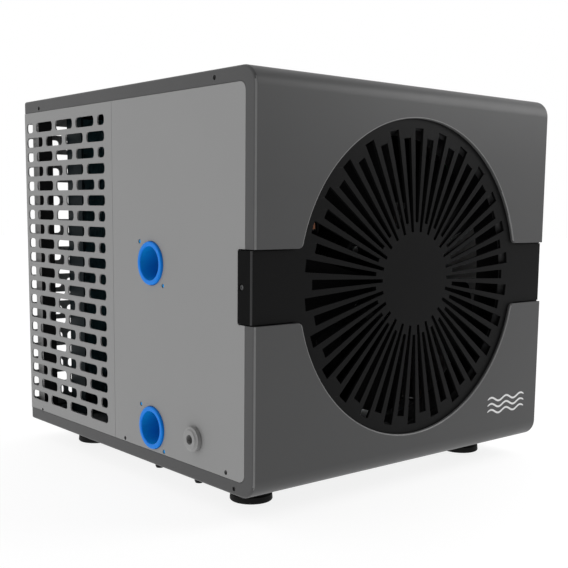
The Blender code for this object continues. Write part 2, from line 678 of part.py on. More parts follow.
def compressor():
    """A welded can on a three-cornered plate with rubber grommets, and the bottle on its suction side."""
    centre = (COMPRESSOR_X, COMPRESSOR_Y, 0)
    radius, low, high = COMPRESSOR_RADIUS, COMPRESSOR_BASE, COMPRESSOR_TOP
    can = [
        (0, low),
        (radius * 0.6, low),
        (radius, low + CAN_SHOULDER),
        (radius, high - CAN_SHOULDER),
        (radius * 0.85, high - CAN_SHOULDER / 2),
        (radius * 0.5, high - 1),
        (0, high),
    ]
    turned("compressor_shell", "Z", centre, can, "black_steel", 20)
    plate_top = low - GAP
    plate_low = plate_top - FOOT_PLATE_WALL
    directions = [math.radians(90 + 120 * k) for k in range(3)]
    corners = []
    for angle in directions:
        u = COMPRESSOR_X + FOOT_PLATE_REACH * math.cos(angle)
        v = COMPRESSOR_Y + FOOT_PLATE_REACH * math.sin(angle)
        corners.append((u, v, FOOT_PLATE_FILLET))
    plate("compressor_foot_plate", "Z", plate_low, plate_top, filleted(corners), "black_steel")
    grommet = rod(GROMMET_RADIUS, PAN_FLOOR + GAP, plate_low - GAP)
    for number, angle in enumerate(directions, 1):
        u = COMPRESSOR_X + GROMMET_REACH * math.cos(angle)
        v = COMPRESSOR_Y + GROMMET_REACH * math.sin(angle)
        turned(f"compressor_grommet_{number}", "Z", (u, v, 0), grommet, "rubber", 12)
    bottle = rod(BOTTLE_RADIUS, BOTTLE_BASE, BOTTLE_TOP, BOTTLE_SHOULDER, BOTTLE_SHOULDER)
    turned("suction_accumulator", "Z", (BOTTLE_X, BOTTLE_Y, 0), bottle, "black_steel", 14)
    cap = rod(TERMINAL_RADIUS, high + GAP, high + TERMINAL_HEIGHT, 0, TERMINAL_EDGE)
    turned("terminal_cover", "Z", centre, cap, "black_plastic", 12)


def pipes():
    """The refrigerant lines, each along a route through hand-set points."""
    top = CAP_TOP + PIPE_CLEARANCE
    discharge = [
        (COMPRESSOR_X - 28, COMPRESSOR_Y - 14, COMPRESSOR_TOP - 1),
        (COMPRESSOR_X - 36, COMPRESSOR_Y - 18, COMPRESSOR_TOP + 12),
        (180, 168, 216),
        (130, 150, 246),
        (92, 134, 252),
        (78, 128, 240),
        (EXCHANGER_X + 10, UNION_Y, top),
    ]
    liquid = [
        (EXCHANGER_X - 14, UNION_Y - 6, top),
        (52, 118, 244),
        (62, 114, 258),
        (100, 114, 266),
        (150, 116, 270),
        (186, 150, 273),
        (190, 220, 271),
        (206, 272, 264),
        (270, 276, 244),
        (DRIER_X, DRIER_Y + 2, DRIER_TOP + 5),
    ]
    expansion = [
        (DRIER_X, DRIER_Y + 1, DRIER_BASE - 1),
        (DRIER_X + 2, DRIER_Y + 6, 120),
        (300, 284, 90),
        (296, 302, 74),
        (WIDTH - COIL_LEFT + 7, COIL_FRONT + 8, 70),
    ]
    suction = [
        (BOTTLE_X, BOTTLE_Y, BOTTLE_TOP + 1),
        (BOTTLE_X, BOTTLE_Y + 2, 170),
        (176, 240, 190),
        (220, 280, 196),
        (262, 290, 206),
        (292, 298, 218),
        (WIDTH - COIL_LEFT + 7, COIL_FRONT + 8, 226),
    ]
    pipe("discharge_pipe", discharge, GAS_PIPE, "copper")
    pipe("liquid_pipe", liquid, LIQUID_PIPE, "copper")
    pipe("expansion_pipe", expansion, EXPANSION_PIPE, "copper")
    pipe("suction_pipe", suction, GAS_PIPE, "copper")
    drier = [
        (0, DRIER_BASE),
        (DRIER_NECK, DRIER_BASE),
        (DRIER_RADIUS, DRIER_BASE + DRIER_TAPER),
        (DRIER_RADIUS, DRIER_TOP - DRIER_TAPER),
        (DRIER_NECK, DRIER_TOP),
        (0, DRIER_TOP),
    ]
    turned("filter_drier", "Z", (DRIER_X, DRIER_Y, 0), drier, "copper", 12)


def evaporator():
    """The fin pack between its two end plates."""
    right = WIDTH - COIL_LEFT
    low = PAN_FLOOR + GAP
    block("evaporator_fins", (COIL_LEFT, COIL_FRONT, low), (right, COIL_BACK, COIL_TOP), "aluminium")
    front, back, top = COIL_FRONT - END_OVERHANG, COIL_BACK + END_OVERHANG, COIL_TOP + END_OVERHANG
    for side, x in (("left", COIL_LEFT - GAP - END_WALL), ("right", right + GAP)):
        block(f"evaporator_end_plate_{side}", (x, front, low), (x + END_WALL, back, top), "steel")


def corner_posts():
    """The angle sections inside the guard's two folds."""
    for side, outer, inward in (("left", POST_IN, 1), ("right", WIDTH - POST_IN, -1)):
        inner = outer + POST_WIDTH * inward
        leg = outer + SHEET * inward
        outline = [
            (outer, POST_FRONT),
            (inner, POST_FRONT),
            (inner, POST_FRONT + SHEET),
            (leg, POST_FRONT + SHEET),
            (leg, POST_FRONT + POST_DEPTH),
            (outer, POST_FRONT + POST_DEPTH),
        ]
        plate(f"corner_post_{side}", "Z", PAN_RIM + GAP, HEIGHT - COVER_WALL - GAP, outline, "grey_panel")


# Electrics and controls


def electrics():
    """An open box with a lid, and the board, terminals and capacitor in it."""
    left, front, bottom = BOX_LOW
    right, rear, top = BOX_HIGH
    tray("electric_box", BOX_LOW, BOX_HIGH, BOX_WALL, "black_plastic")
    block("electric_box_lid", (left, front, top + GAP), (right, rear, top + BOX_WALL), "black_plastic", 3)
    floor = bottom + BOX_WALL + GAP
    board_z = floor + BOARD_STANDOFF
    block("control_board", (*BOARD_LOW, board_z), (*BOARD_HIGH, board_z + BOARD_WALL), "board")
    terminals = (*TERMINALS_LOW, floor), (*TERMINALS_HIGH, floor + TERMINALS_HEIGHT)
    block("terminal_block", *terminals, "white_plastic")
    can = rod(CAPACITOR_RADIUS, *CAPACITOR_ENDS, 1, 1)
    turned("run_capacitor", "X", (0, CAPACITOR_Y, floor + CAPACITOR_RADIUS + 1), can, "aluminium", 14)


def controls():
    """The panel on the right side: a bezel with a display window and four push buttons."""
    front, bottom, rear, top = BEZEL
    button_holes = [circle(y, BUTTON_Z, BUTTON_RADIUS + 2 * GAP, 14) for y in BUTTONS.values()]
    depths = WIDTH + GAP, WIDTH + BEZEL_PROUD
    outline = rectangle(*BEZEL, BEZEL_FILLET)
    plate("control_bezel", "X", *depths, outline, "black_plastic", [rectangle(*DISPLAY), *button_holes])
    y0, z0, y1, z1 = DISPLAY
    pane = rectangle(y0 + GAP, z0 + GAP, y1 - GAP, z1 - GAP)
    plate("display_window", "X", WIDTH + GAP, WIDTH + BEZEL_PROUD - PANE_SUNK, pane, "lens")
    module_back, module_face = WIDTH - MODULE_BACK, WIDTH - MODULE_FACE
    low = (module_back, front + MODULE_IN, bottom + MODULE_IN)
    block("display_module", low, (module_face, rear - MODULE_IN, top - MODULE_IN), "board")
    stem, face = WIDTH - BUTTON_STEM, WIDTH + BUTTON_PROUD
    cap = [
        (0, stem),
        (BUTTON_RADIUS + BUTTON_FLANGE, stem),
        (BUTTON_RADIUS + BUTTON_FLANGE, stem + BUTTON_FLANGE),
        (BUTTON_RADIUS, stem + BUTTON_FLANGE),
        (BUTTON_RADIUS, face - BUTTON_EDGE),
        (BUTTON_RADIUS - BUTTON_EDGE, face),
        (0, face),
    ]
    for name, y in BUTTONS.items():
        turned(name, "X", (0, y, BUTTON_Z), cap, "white_plastic", 14)


clear_scene()
corner = case_corner()
cover_half("upper_cover", FAN_Z + BAND_HEIGHT / 2, HEIGHT)
cover_half("lower_cover", FAN_Z - BAND_HEIGHT / 2, 0)
front_grille()
side_panels()
rear_guard()
base()
fan_rotor()
fan_drive()
motor_bracket()
fan_shroud()
water_union("outlet", UNION_OUTLET_Z)
water_union("inlet", UNION_INLET_Z)
heat_exchanger()
cable_entry()
compressor()
pipes()
evaporator()
corner_posts()
electrics()
controls()
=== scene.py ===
"""Looks of the small pool heat pump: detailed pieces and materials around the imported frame.

Lengths are millimetres from the case's own corner, as in the part: x to the right from the left side, y back
from the front face, z up from the underside. piece() turns them into metres in the frame's own axes.
"""

import math

import bmesh
import bpy
from mathutils import Euler, Matrix, Vector

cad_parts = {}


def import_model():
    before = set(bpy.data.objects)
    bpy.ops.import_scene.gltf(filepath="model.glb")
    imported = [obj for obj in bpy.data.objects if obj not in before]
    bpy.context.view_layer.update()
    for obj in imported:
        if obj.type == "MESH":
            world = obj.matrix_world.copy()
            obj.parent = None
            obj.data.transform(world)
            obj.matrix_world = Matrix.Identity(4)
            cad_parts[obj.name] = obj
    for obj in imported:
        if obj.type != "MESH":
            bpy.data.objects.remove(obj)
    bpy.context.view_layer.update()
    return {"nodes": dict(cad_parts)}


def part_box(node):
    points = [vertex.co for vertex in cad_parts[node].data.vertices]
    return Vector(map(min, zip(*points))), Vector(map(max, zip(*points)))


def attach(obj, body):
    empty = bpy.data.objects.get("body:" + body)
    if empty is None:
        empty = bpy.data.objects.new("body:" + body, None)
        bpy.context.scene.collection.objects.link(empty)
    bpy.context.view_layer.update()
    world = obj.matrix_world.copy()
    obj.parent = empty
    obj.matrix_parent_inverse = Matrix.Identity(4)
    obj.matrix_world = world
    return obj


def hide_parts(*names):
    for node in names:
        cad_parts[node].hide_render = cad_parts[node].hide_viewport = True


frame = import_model()
MM = 0.001

# The case, from the frame


def box_mm(node):
    """A node's low and high corners in the case's own frame."""
    return [(corner - CORNER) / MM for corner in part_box(node)]


def round_mm(node, axis=2):
    """A round node's centre, its radius, and where it starts and ends along its axis (0, 1 or 2)."""
    low, high = box_mm(node)
    across = 2 if axis == 0 else 0
    return (low + high) / 2, (high[across] - low[across]) / 2, low[axis], high[axis]


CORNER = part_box("lower_cover")[0]
COVER_HIGH = box_mm("lower_cover")[1]
WIDTH, DEPTH = COVER_HIGH.x, COVER_HIGH.y
HEIGHT = box_mm("upper_cover")[1].z
BAND_LOW, BAND_HIGH = COVER_HIGH.z, box_mm("upper_cover")[0].z
GRILLE_LOW, GRILLE_HIGH = box_mm("front_grille")
FAN_X, FAN_Z = (GRILLE_LOW.x + GRILLE_HIGH.x) / 2, (GRILLE_LOW.z + GRILLE_HIGH.z) / 2
PANEL_LOW, PANEL_HIGH = box_mm("left_side_panel")
SHEET = PANEL_HIGH.x
SEAM = box_mm("rear_guard")[0].y
GAP = SEAM - PANEL_HIGH.y
LIP = PANEL_LOW.y - GAP
SKIN = 0.12  # how far the cover's front lies behind the frame's, so that the mark on it stays in the box
SIDES = (("left", 0), ("right", WIDTH))

# Cover
COVER_WALL, FRONT_WALL = 1.5, 2.6
COVER_FILLET, LIP_FILLET = 14.0, 6.0
COVER_EDGE = 1.9  # rounding between the outer faces and the side lips
REAR_FILLET = 2.2  # the cover's rounding above the back
OPENING_RADIUS, OPENING_CORNER, RIM_EDGE = 119.8, 4.0, 1.0

# Side screws, each set by y and z
LIP_SCREWS = {"upper": ((45.0, 284.4), (307.0, 282.5)), "lower": ((22.0, 4.7),)}
PANEL_SCREWS = ((166.6, 12.9), (31.5, 14.2))
GUARD_SCREWS = ((313.0, 11.3),)
SCREW_RADIUS, SCREW_HOLE = 1.6, 1.7

# Grille
GRILLE_RADIUS = 126.0
BAND_WRAP = GRILLE_HIGH.y
BAND_GAP, BAND_CORNER, BAND_SCREW_Y = 0.9, 1.6, 13.6
GRILLE_WALL = 2.2
# A black strip behind the band's gap: a dark sheet standing in for the shadow between band and cover.
SHADOW_BACKING = 3.0  # how far behind the front face the band's backing lies, and how far it shows past the band
SLOTS = 26
LONG_SLOT = (43.0, 3.0, 113.0, 9.2)  # inner end's radius and width, then the outer end's
SHORT_SLOT = (35.8, 2.5, 106.0, 7.4)

# Guard
SLOT_ROWS, ROW_PITCH = 20, 12.76
SLOT_LENGTH, SLOT_HEIGHT, SLOT_FILLET = 30.4, 8.4, 3.2
SIDE_PITCH, SIDE_COLUMNS = 36.3, 5
BACK_COLUMNS = 9
SIDE_OFFSET, SHORTEST_SLOT = 1.6, 8.0
SEAM_STRIP, SIDE_STRIP, BACK_STRIP = 11.5, 4.7, 1.6
FOLD, FOLD_STEPS = 0.8, 4
STRIP_END = 21.5  # where the strip behind the upper lip starts, clear of the posts

# Unions
UNION_RADIUS, UNION_BORE = 16.5, 12.75
EAR = 16.0  # a flange screw's offset from the union's centre, in y and in z

# Fan
FAN_RADIUS, HUB_RADIUS, HUB_FRONT, HUB_BACK = 106.0, 30.0, 14.0, 40.0
BLADES, BLADE_WALL = 5, 2.6
BLADE_ROOT = Vector((38.0, 122.0, 18.0))  # the chord and its middle in degrees, and the rise
BLADE_TIP = Vector((44.0, 117.0, 14.0))
RING_BORE = 112.0

# Coil
FIN_PITCH, FIN_WALL, FIN_WAVE, FIN_STEPS = 1.6, 0.16, 0.35, 8
TUBE_RADIUS, TUBE_PITCH = 3.5, 21.0

# Mark on the front
MARK_X, MARK_Z, MARK_LENGTH, MARK_WAVES = 274.5, 34.5, 50.0, 2.5
MARK_SWING, MARK_STROKE, MARK_PITCH = 1.7, 1.6, 5.2

# The camera, from the case's corner
CAMERA_PLACE = (-388.9, -489.9, 198.0)
CAMERA_AZIMUTH, CAMERA_ELEVATION, CAMERA_ROLL = 40.226, -7.455, 0.567
CAMERA_LENS, CAMERA_SHIFT = 60.595, 0.086


# Shapes


ARC_STEPS = 11  # faces round a quarter turn
PLANES = {  # where an outline's u, v and the depth w go
    "X": lambda u, v, w: (w, u, v),
    "Y": lambda u, v, w: (u, w, v),
    "Z": lambda u, v, w: (u, v, w),
}


def filleted(corners):
    """A closed outline from (u, v, radius) corners, with an arc at each corner that has a radius."""
    points = []
    for i, (u, v, radius) in enumerate(corners):
        here = Vector((u, v))
        if radius == 0:
            points.append((u, v))
            continue
        before = (Vector(corners[i - 1][:2]) - here).normalized()
        after = (Vector(corners[(i + 1) % len(corners)][:2]) - here).normalized()
        half = before.angle(after) / 2
        middle = here + (before + after).normalized() * (radius / math.sin(half))
        start = here + before * (radius / math.tan(half)) - middle
        end = here + after * (radius / math.tan(half)) - middle
        turn = start.angle(end)
        steps = max(3, round(ARC_STEPS * turn / (math.pi / 2)))
        for k in range(steps + 1):
            part = k / steps
            arc = start * math.sin((1 - part) * turn) + end * math.sin(part * turn)
            points.append(tuple(middle + arc / math.sin(turn)))
    return points


def circle(u, v, radius, sides=64, start=0.0, turn=2 * math.pi):
    """Points round a circle, or along an arc when the turn is less than a whole one."""
    count = sides if turn > 6.28 else sides + 1
    angles = [start + turn * k / sides for k in range(count)]
    return [(u + radius * math.cos(a), v + radius * math.sin(a)) for a in angles]


def rectangle(u0, v0, u1, v1, radius=0):
    """A rectangle's outline between two corners, rounded by radius."""
    return filleted([(u0, v0, radius), (u1, v0, radius), (u1, v1, radius), (u0, v1, radius)])


def flat(outline, holes=()):
    """A filled, one-sided sheet in its own x and y, with holes."""
    curve = bpy.data.curves.new("outline", "CURVE")
    curve.dimensions = "2D"
    curve.fill_mode = "BOTH"
    for loop in (outline, *holes):
        spline = curve.splines.new("POLY")
        spline.points.add(len(loop) - 1)
        for point, (u, v) in zip(spline.points, loop):
            point.co = (u, v, 0, 1)
        spline.use_cyclic_u = True
    drawing = bpy.data.objects.new("outline", curve)
    bm = bmesh.new()
    bm.from_mesh(drawing.to_mesh())
    bpy.data.objects.remove(drawing)
    bpy.data.curves.remove(curve)
    bmesh.ops.remove_doubles(bm, verts=bm.verts, dist=0.002)
    return bm


def thickened(bm, place):
    """Gives a flat sheet two faces and its walls; place(u, v, side) says where a point of side 0 or 1 is."""
    far = bmesh.ops.extrude_face_region(bm, geom=list(bm.faces), use_keep_orig=True)["geom"]
    far_verts = {v for v in far if isinstance(v, bmesh.types.BMVert)}
    for vert in bm.verts:
        vert.co = place(vert.co.x, vert.co.y, 1 if vert in far_verts else 0)
    return bm


def plate(axis, low, high, outline, holes=()):
    """An outline with holes, extruded along an axis."""
    put = PLANES[axis]
    return thickened(flat(outline, holes), lambda u, v, side: put(u, v, high if side else low))


def block(low, high):
    """A box between two corners."""
    return plate("Z", low[2], high[2], rectangle(low[0], low[1], high[0], high[1]))


def grid(rows, closed=False):
    """Faces between rows of points; closed also joins the last row to the first."""
    bm = bmesh.new()
    made = [[bm.verts.new(p) for p in row] for row in rows]
    pairs = list(zip(made, made[1:]))
    if closed:
        pairs.append((made[-1], made[0]))
    for one, two in pairs:
        for a, b, c, d in zip(one, one[1:], two[1:], two):
            bm.faces.new((a, b, c, d))
    return bm, made


def turned(axis, centre, profile, sides=64, ring=False):
    """A profile of (radius, height) points turned round an axis; a ring's profile closes on itself."""
    bm = bmesh.new()
    rows = []
    for radius, height in profile:
        if radius < 1e-6:
            rows.append([bm.verts.new(PLANES[axis](0, 0, height))])
        else:
            rows.append([bm.verts.new(PLANES[axis](u, v, height)) for u, v in circle(0, 0, radius, sides)])
    pairs = list(zip(rows, rows[1:]))
    if ring:
        pairs.append((rows[-1], rows[0]))
    for one, two in pairs:
        for k in range(sides):
            after = (k + 1) % sides
            corners = [one[k % len(one)], one[after % len(one)], two[after % len(two)], two[k % len(two)]]
            corners = list(dict.fromkeys(corners))
            if len(corners) > 2:
                bm.faces.new(corners)
    bmesh.ops.translate(bm, vec=Vector(centre), verts=bm.verts)
    return bm


def rounded(radius, low, high, low_edge=0, high_edge=0):
    """The (radius, height, fillet) corners of a solid cylinder with rounded edges."""
    return [(0, low, 0), (radius, low, low_edge), (radius, high, high_edge), (0, high, 0)]


def rod(*measures):
    """The profile of a cylinder with the measures of rounded()."""
    return filleted(rounded(*measures))


def joined(meshes):
    """One bmesh from several."""
    whole = bmesh.new()
    for bm in meshes:
        part = bpy.data.meshes.new("part")
        bm.to_mesh(part)
        bm.free()
        whole.from_mesh(part)
        bpy.data.meshes.remove(part)
    return whole


def cut(bm, cutters, operation="DIFFERENCE"):
    """bm with exact Booleans applied."""
    things = []
    for source in (bm, *cutters):
        bmesh.ops.recalc_face_normals(source, faces=source.faces)
        mesh = bpy.data.meshes.new("cut")
        source.to_mesh(mesh)
        source.free()
        thing = bpy.data.objects.new("cut", mesh)
        bpy.context.collection.objects.link(thing)
        things.append(thing)
    for tool in things[1:]:
        step = things[0].modifiers.new("cut", "BOOLEAN")
        step.operation = operation
        step.solver = "EXACT"
        step.object = tool
    result = bmesh.new()
    result.from_object(things[0], bpy.context.evaluated_depsgraph_get())
    for thing in things:
        mesh = thing.data
        bpy.data.objects.remove(thing)
        bpy.data.meshes.remove(mesh)
    return result


def piece(name, bm, material, body="housing", stands_for=(), edge=0.0, segments=2, angle=40, others=()):
    """One finished piece: rounded by edge at its sharp edges, shaded smooth, riding on a body."""
    bmesh.ops.remove_doubles(bm, verts=bm.verts, dist=0.0015)
    bmesh.ops.recalc_face_normals(bm, faces=bm.faces)
    bmesh.ops.transform(bm, matrix=Matrix.Translation(CORNER) @ Matrix.Scale(MM, 4), verts=bm.verts)
    mesh = bpy.data.meshes.new(name)
    bm.to_mesh(mesh)
    bm.free()
    mesh.shade_smooth()
    for finish in (material, *others):
        mesh.materials.append(finish)
    thing = bpy.data.objects.new(name, mesh)
    bpy.context.collection.objects.link(thing)
    if edge:
        step = thing.modifiers.new("edges", "BEVEL")
        step.width = edge * MM
        step.segments = segments
        step.limit_method = "ANGLE"
        step.angle_limit = math.radians(angle)
        step.use_clamp_overlap = True
    else:
        mesh.set_sharp_from_angle(angle=math.radians(angle))
    shade = thing.modifiers.new("shading", "WEIGHTED_NORMAL")
    shade.keep_sharp = not edge
    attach(thing, body)
    if stands_for:
        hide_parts(*stands_for)


def upright(name, node, corners, material, sides, angle=50):
    """A piece turned about the vertical line through a node's middle, from (radius, z, fillet) corners."""
    centre = round_mm(node)[0]
    bm = turned("Z", (centre.x, centre.y, 0), filleted(corners), sides)
    piece(name, bm, material, stands_for=[node], angle=angle)


def on_shaft(corners, sides, ring=False):
    """A shape turned about the fan's shaft, from (radius, y, fillet) corners."""
    return turned("Y", (FAN_X, 0, FAN_Z), filleted(corners), sides, ring)


# Materials


def settle(node, **values):
    """Sets a shader node's own inputs; an underscore stands for a space in an input's name."""
    for name, value in values.items():
        node.inputs[name.replace("_", " ")].default_value = value
    return node


def blank(name):
    """A new material, with its shader, nodes and links."""
    material = bpy.data.materials.new(name)
    material.use_nodes = True
    nodes = material.node_tree.nodes
    return material, nodes["Principled BSDF"], nodes, material.node_tree.links


def noise(nodes, links, place, size, detail):
    """A noise's value, with features about size millimetres across."""
    node = settle(nodes.new("ShaderNodeTexNoise"), Scale=1 / (size * MM), Detail=detail)
    links.new(place, node.inputs["Vector"])
    return node.outputs["Fac"]


def surface(name, colour, roughness, metallic=0.0, grain=0.0, grain_size=0.8, mottle=0.05, mottle_size=60.0,
            rough_range=0.06, coat=0.0, sheen=None, specular=0.5):
    """A material with mottled colour and roughness and a fine grain in its surface; sizes are mm."""
    material, shader, nodes, links = blank(name)
    settle(shader, Metallic=metallic, Coat_Weight=coat, Specular_IOR_Level=specular)
    place = nodes.new("ShaderNodeTexCoord").outputs["Object"]
    mix = nodes.new("ShaderNodeMix")
    mix.data_type = "RGBA"
    low = [c * (1 - mottle) for c in colour]
    high = [c * (1 + mottle) for c in sheen or colour]
    settle(mix, A=(*low, 1), B=(*high, 1))
    links.new(noise(nodes, links, place, mottle_size, 3), mix.inputs["Factor"])
    links.new(mix.outputs["Result"], shader.inputs["Base Color"])
    spread = nodes.new("ShaderNodeMapRange")
    settle(spread, To_Min=max(0.02, roughness - rough_range), To_Max=min(1.0, roughness + rough_range))
    links.new(noise(nodes, links, place, mottle_size / 4, 4), spread.inputs["Value"])
    links.new(spread.outputs["Result"], shader.inputs["Roughness"])
    if grain:
        bump = settle(nodes.new("ShaderNodeBump"), Strength=grain, Distance=0.05 * MM)
        links.new(noise(nodes, links, place, grain_size, 2), bump.inputs["Height"])
        links.new(bump.outputs["Normal"], shader.inputs["Normal"])
    return material


def galvanised():
    """Zinc with its spangle: flat crystals that differ in brightness and gloss."""
    material = surface("galvanised", (0.42, 0.43, 0.44), 0.4, 0.9, grain=0.2, rough_range=0.12)
    nodes, links = material.node_tree.nodes, material.node_tree.links
    crystals = settle(nodes.new("ShaderNodeTexVoronoi"), Scale=1 / (7 * MM))
    links.new(nodes["Texture Coordinate"].outputs["Object"], crystals.inputs["Vector"])
    mix = settle(nodes["Mix"], A=(0.30, 0.31, 0.32, 1), B=(0.55, 0.56, 0.57, 1))
    links.new(crystals.outputs["Color"], mix.inputs["Factor"])
    return material


def circuit_board():
    """Green solder mask with paler copper runs under it."""
    material = surface("circuit_board", (0.015, 0.13, 0.05), 0.35, grain=0.1, coat=0.3)
    nodes, links = material.node_tree.nodes, material.node_tree.links
    runs = settle(nodes.new("ShaderNodeTexBrick"), Scale=1 / (9 * MM), Mortar_Size=0.05)
    settle(runs, Color1=(0.012, 0.11, 0.04, 1), Color2=(0.018, 0.15, 0.055, 1), Mortar=(0.05, 0.30, 0.12, 1))
    links.new(nodes["Texture Coordinate"].outputs["Object"], runs.inputs["Vector"])
    links.new(runs.outputs["Color"], nodes["Principled BSDF"].inputs["Base Color"])
    return material


def glow():
    """The display's lit segments."""
    material, shader, _, _ = blank("lit_segment")
    settle(shader, Base_Color=(0.6, 0.85, 1.0, 1), Emission_Color=(0.55, 0.85, 1.0, 1), Emission_Strength=1.2)
    return material


PAINT = {"grain": 0.35, "grain_size": 0.9, "specular": 0.2}
BAND_GRAIN = {"grain": 0.5, "grain_size": 0.45}
COVER_PAINT = surface("cover_paint", (0.083, 0.083, 0.084), 0.42, mottle=0.03, **PAINT)
# A lighter copy of the cover paint: a painted highlight on the cover's side edges and the opening's lower
# rim.
COVER_HIGHLIGHT_PAINT = surface("cover_painted_highlight", (0.21, 0.21, 0.21), 0.35, grain=0.2, grain_size=0.9,
                           specular=0.3)
PANEL_PAINT = surface("panel_paint", (0.308, 0.308, 0.308), 0.50, mottle=0.02, **PAINT)
# Near-black paint: painted shade on the corner posts' faces that do not face the sides.
POST_SHADE = surface("post_painted_shade", (0.030, 0.030, 0.031), 0.6, grain=0.2, grain_size=0.9, specular=0.1)
MOULDING = surface("black_moulding", (0.0068, 0.0068, 0.007), 0.42, specular=0.07, **BAND_GRAIN)
# A darker copy of the black moulding: painted shade on the band's flat side faces.
BAND_SIDE_SHADE = surface("band_painted_shade", (0.0040, 0.0040, 0.0042), 0.45, specular=0.03, **BAND_GRAIN)
# A paler copy of the black moulding: a painted highlight on the band's rounded corners and the air ring's
# lip.
BAND_HIGHLIGHT = surface("band_painted_highlight", (0.050, 0.050, 0.051), 0.4, grain=0.3, grain_size=0.45, specular=0.2)
FAN_PLASTIC = surface("fan_moulding", (0.0028, 0.0028, 0.003), 0.42, grain=0.3, grain_size=0.6,
                      mottle_size=25, specular=0.015)
BLUE = surface("blue_moulding", (0.006, 0.235, 0.850), 0.34, grain=0.15, mottle=0.02, specular=0.12)
BORE_BLUE = surface("blue_bore", (0.006, 0.320, 0.780), 0.45, grain=0.15, mottle=0.04, specular=0.1)
GREY = surface("grey_moulding", (0.300, 0.300, 0.298), 0.48, grain=0.4, grain_size=0.5)
WHITE = surface("white_moulding", (0.68, 0.68, 0.66), 0.42, grain=0.3, grain_size=0.5, mottle=0.02)
INK = surface("white_print", (0.80, 0.80, 0.80), 0.5, mottle=0.01, grain=0.1)
RUBBER = surface("rubber", (0.009, 0.009, 0.009), 0.7, grain=0.6, grain_size=0.7, mottle=0.2, mottle_size=12,
                 specular=0.15)
SLEEVE = surface("foam_sleeve", (0.006, 0.006, 0.006), 0.9, grain=0.7, grain_size=1.5, mottle=0.2,
                 specular=0.05)
BLACK_STEEL = surface("black_steel", (0.0045, 0.0045, 0.005), 0.4, grain=0.35, grain_size=1.2, specular=0.1)
DARK_STEEL = surface("dark_steel", (0.090, 0.090, 0.092), 0.35, 0.8, grain=0.15, mottle_size=4)
SCREW_STEEL = surface("screw_steel", (0.34, 0.34, 0.34), 0.32, 0.85, grain=0.15, mottle_size=4)
ALUMINIUM = surface("aluminium", (0.62, 0.63, 0.64), 0.34, 1.0, grain=0.2, mottle_size=8)
FIN_COAT = surface("fin_coating", (0.050, 0.118, 0.140), 0.42, grain=0.2, mottle=0.12, mottle_size=14,
                   specular=0.2)
PLATE_COAT = surface("plate_coating", (0.0075, 0.0165, 0.0205), 0.5, grain=0.2, mottle=0.08, mottle_size=20,
                     specular=0.1)
COPPER = surface("copper", (0.72, 0.33, 0.19), 0.30, 1.0, grain=0.15, mottle=0.12, mottle_size=14,
                 rough_range=0.1, sheen=(0.52, 0.22, 0.13))
LENS = surface("smoked_lens", (0.010, 0.012, 0.015), 0.08, mottle=0.05, rough_range=0.03, coat=0.4)
ZINC = galvanised()
BOARD = circuit_board()
GLOW = glow()


# Case


def cover_path(near, far, front, side, radius):
    """The cover's outline seen from the left, inset by front at the front and by side at its flat side."""
    sign = 1 if far > near else -1
    level = far - side * sign
    end = far - LIP * sign
    rear = REAR_FILLET - side
    points = filleted([
        (front, near, 0), (front, level, radius), (DEPTH - side, level, max(rear, 0)),
        (DEPTH - side, end, 0),
    ])
    if rear <= 0:  # a sharp corner has as many points as a rounded one, so that the outlines match
        points[-2:-1] = [points[-2]] * (ARC_STEPS + 1)
    return points


def cover_half(name, near, far):
    """A folded sheet shell: front, flat side and side lips, with its half of the round opening."""
    edge_steps = 6
    turns = [math.pi / 2 * k / edge_steps for k in range(edge_steps + 1)]
    edge = [(COVER_EDGE * (1 - math.cos(a)), COVER_EDGE * (1 - math.sin(a))) for a in turns]
    lip = (LIP, LIP, LIP_FILLET)
    inner = (FRONT_WALL, COVER_WALL, COVER_FILLET - FRONT_WALL)
    section = [(0, *lip)]
    section += [(x, SKIN + inset, inset, COVER_FILLET - inset) for x, inset in edge]
    section += [(WIDTH - x, SKIN + inset, inset, COVER_FILLET - inset) for x, inset in reversed(edge)]
    section += [(WIDTH, *lip), (WIDTH - COVER_WALL, *lip), (WIDTH - COVER_WALL, *inner)]
    section += [(COVER_WALL, *inner), (COVER_WALL, *lip)]
    rows = []
    for x, front, side, radius in section:
        rows.append([(x, y, z) for y, z in cover_path(near, far, front, side, radius)])
    bm, made = grid(rows, closed=True)
    for end in (0, -1):
        bm.faces.new([row[end] for row in made])
    bmesh.ops.remove_doubles(bm, verts=bm.verts, dist=0.0015)
    cutters = [plate("Y", -5, 5, opening_outline(near, far))]
    for y, z in LIP_SCREWS[name]:
        cutters.append(turned("X", (0, y, z), rod(SCREW_HOLE, -2, WIDTH + 2), 24))
    bm = cut(bm, cutters)
    rim = [e for e in bm.edges if is_rim(e)]
    bmesh.ops.bevel(bm, geom=rim, offset=RIM_EDGE, segments=3, profile=0.5, affect="EDGES",
                    clamp_overlap=True)
    bm.normal_update()
    # The side edges and the opening's lower rim take the lighter paint: a painted highlight.
    for face in bm.faces:
        face.material_index = int(is_painted_highlight(face))
    piece(f"{name}_cover_shell", bm, COVER_PAINT, stands_for=[f"{name}_cover"], angle=50,
          others=[COVER_HIGHLIGHT_PAINT])
    side_screws(f"{name}_lip_screw", LIP_SCREWS[name])


def is_rim(edge):
    """Whether an edge bounds the cover's front face at the opening or at the band."""
    if len(edge.link_faces) != 2 or edge.calc_face_angle(0) < math.radians(50):
        return False
    flat_front = all(abs(v.co.y - SKIN) < 0.02 for v in edge.verts)
    inside = all(COVER_EDGE + 0.1 < v.co.x < WIDTH - COVER_EDGE - 0.1 for v in edge.verts)
    return flat_front and inside


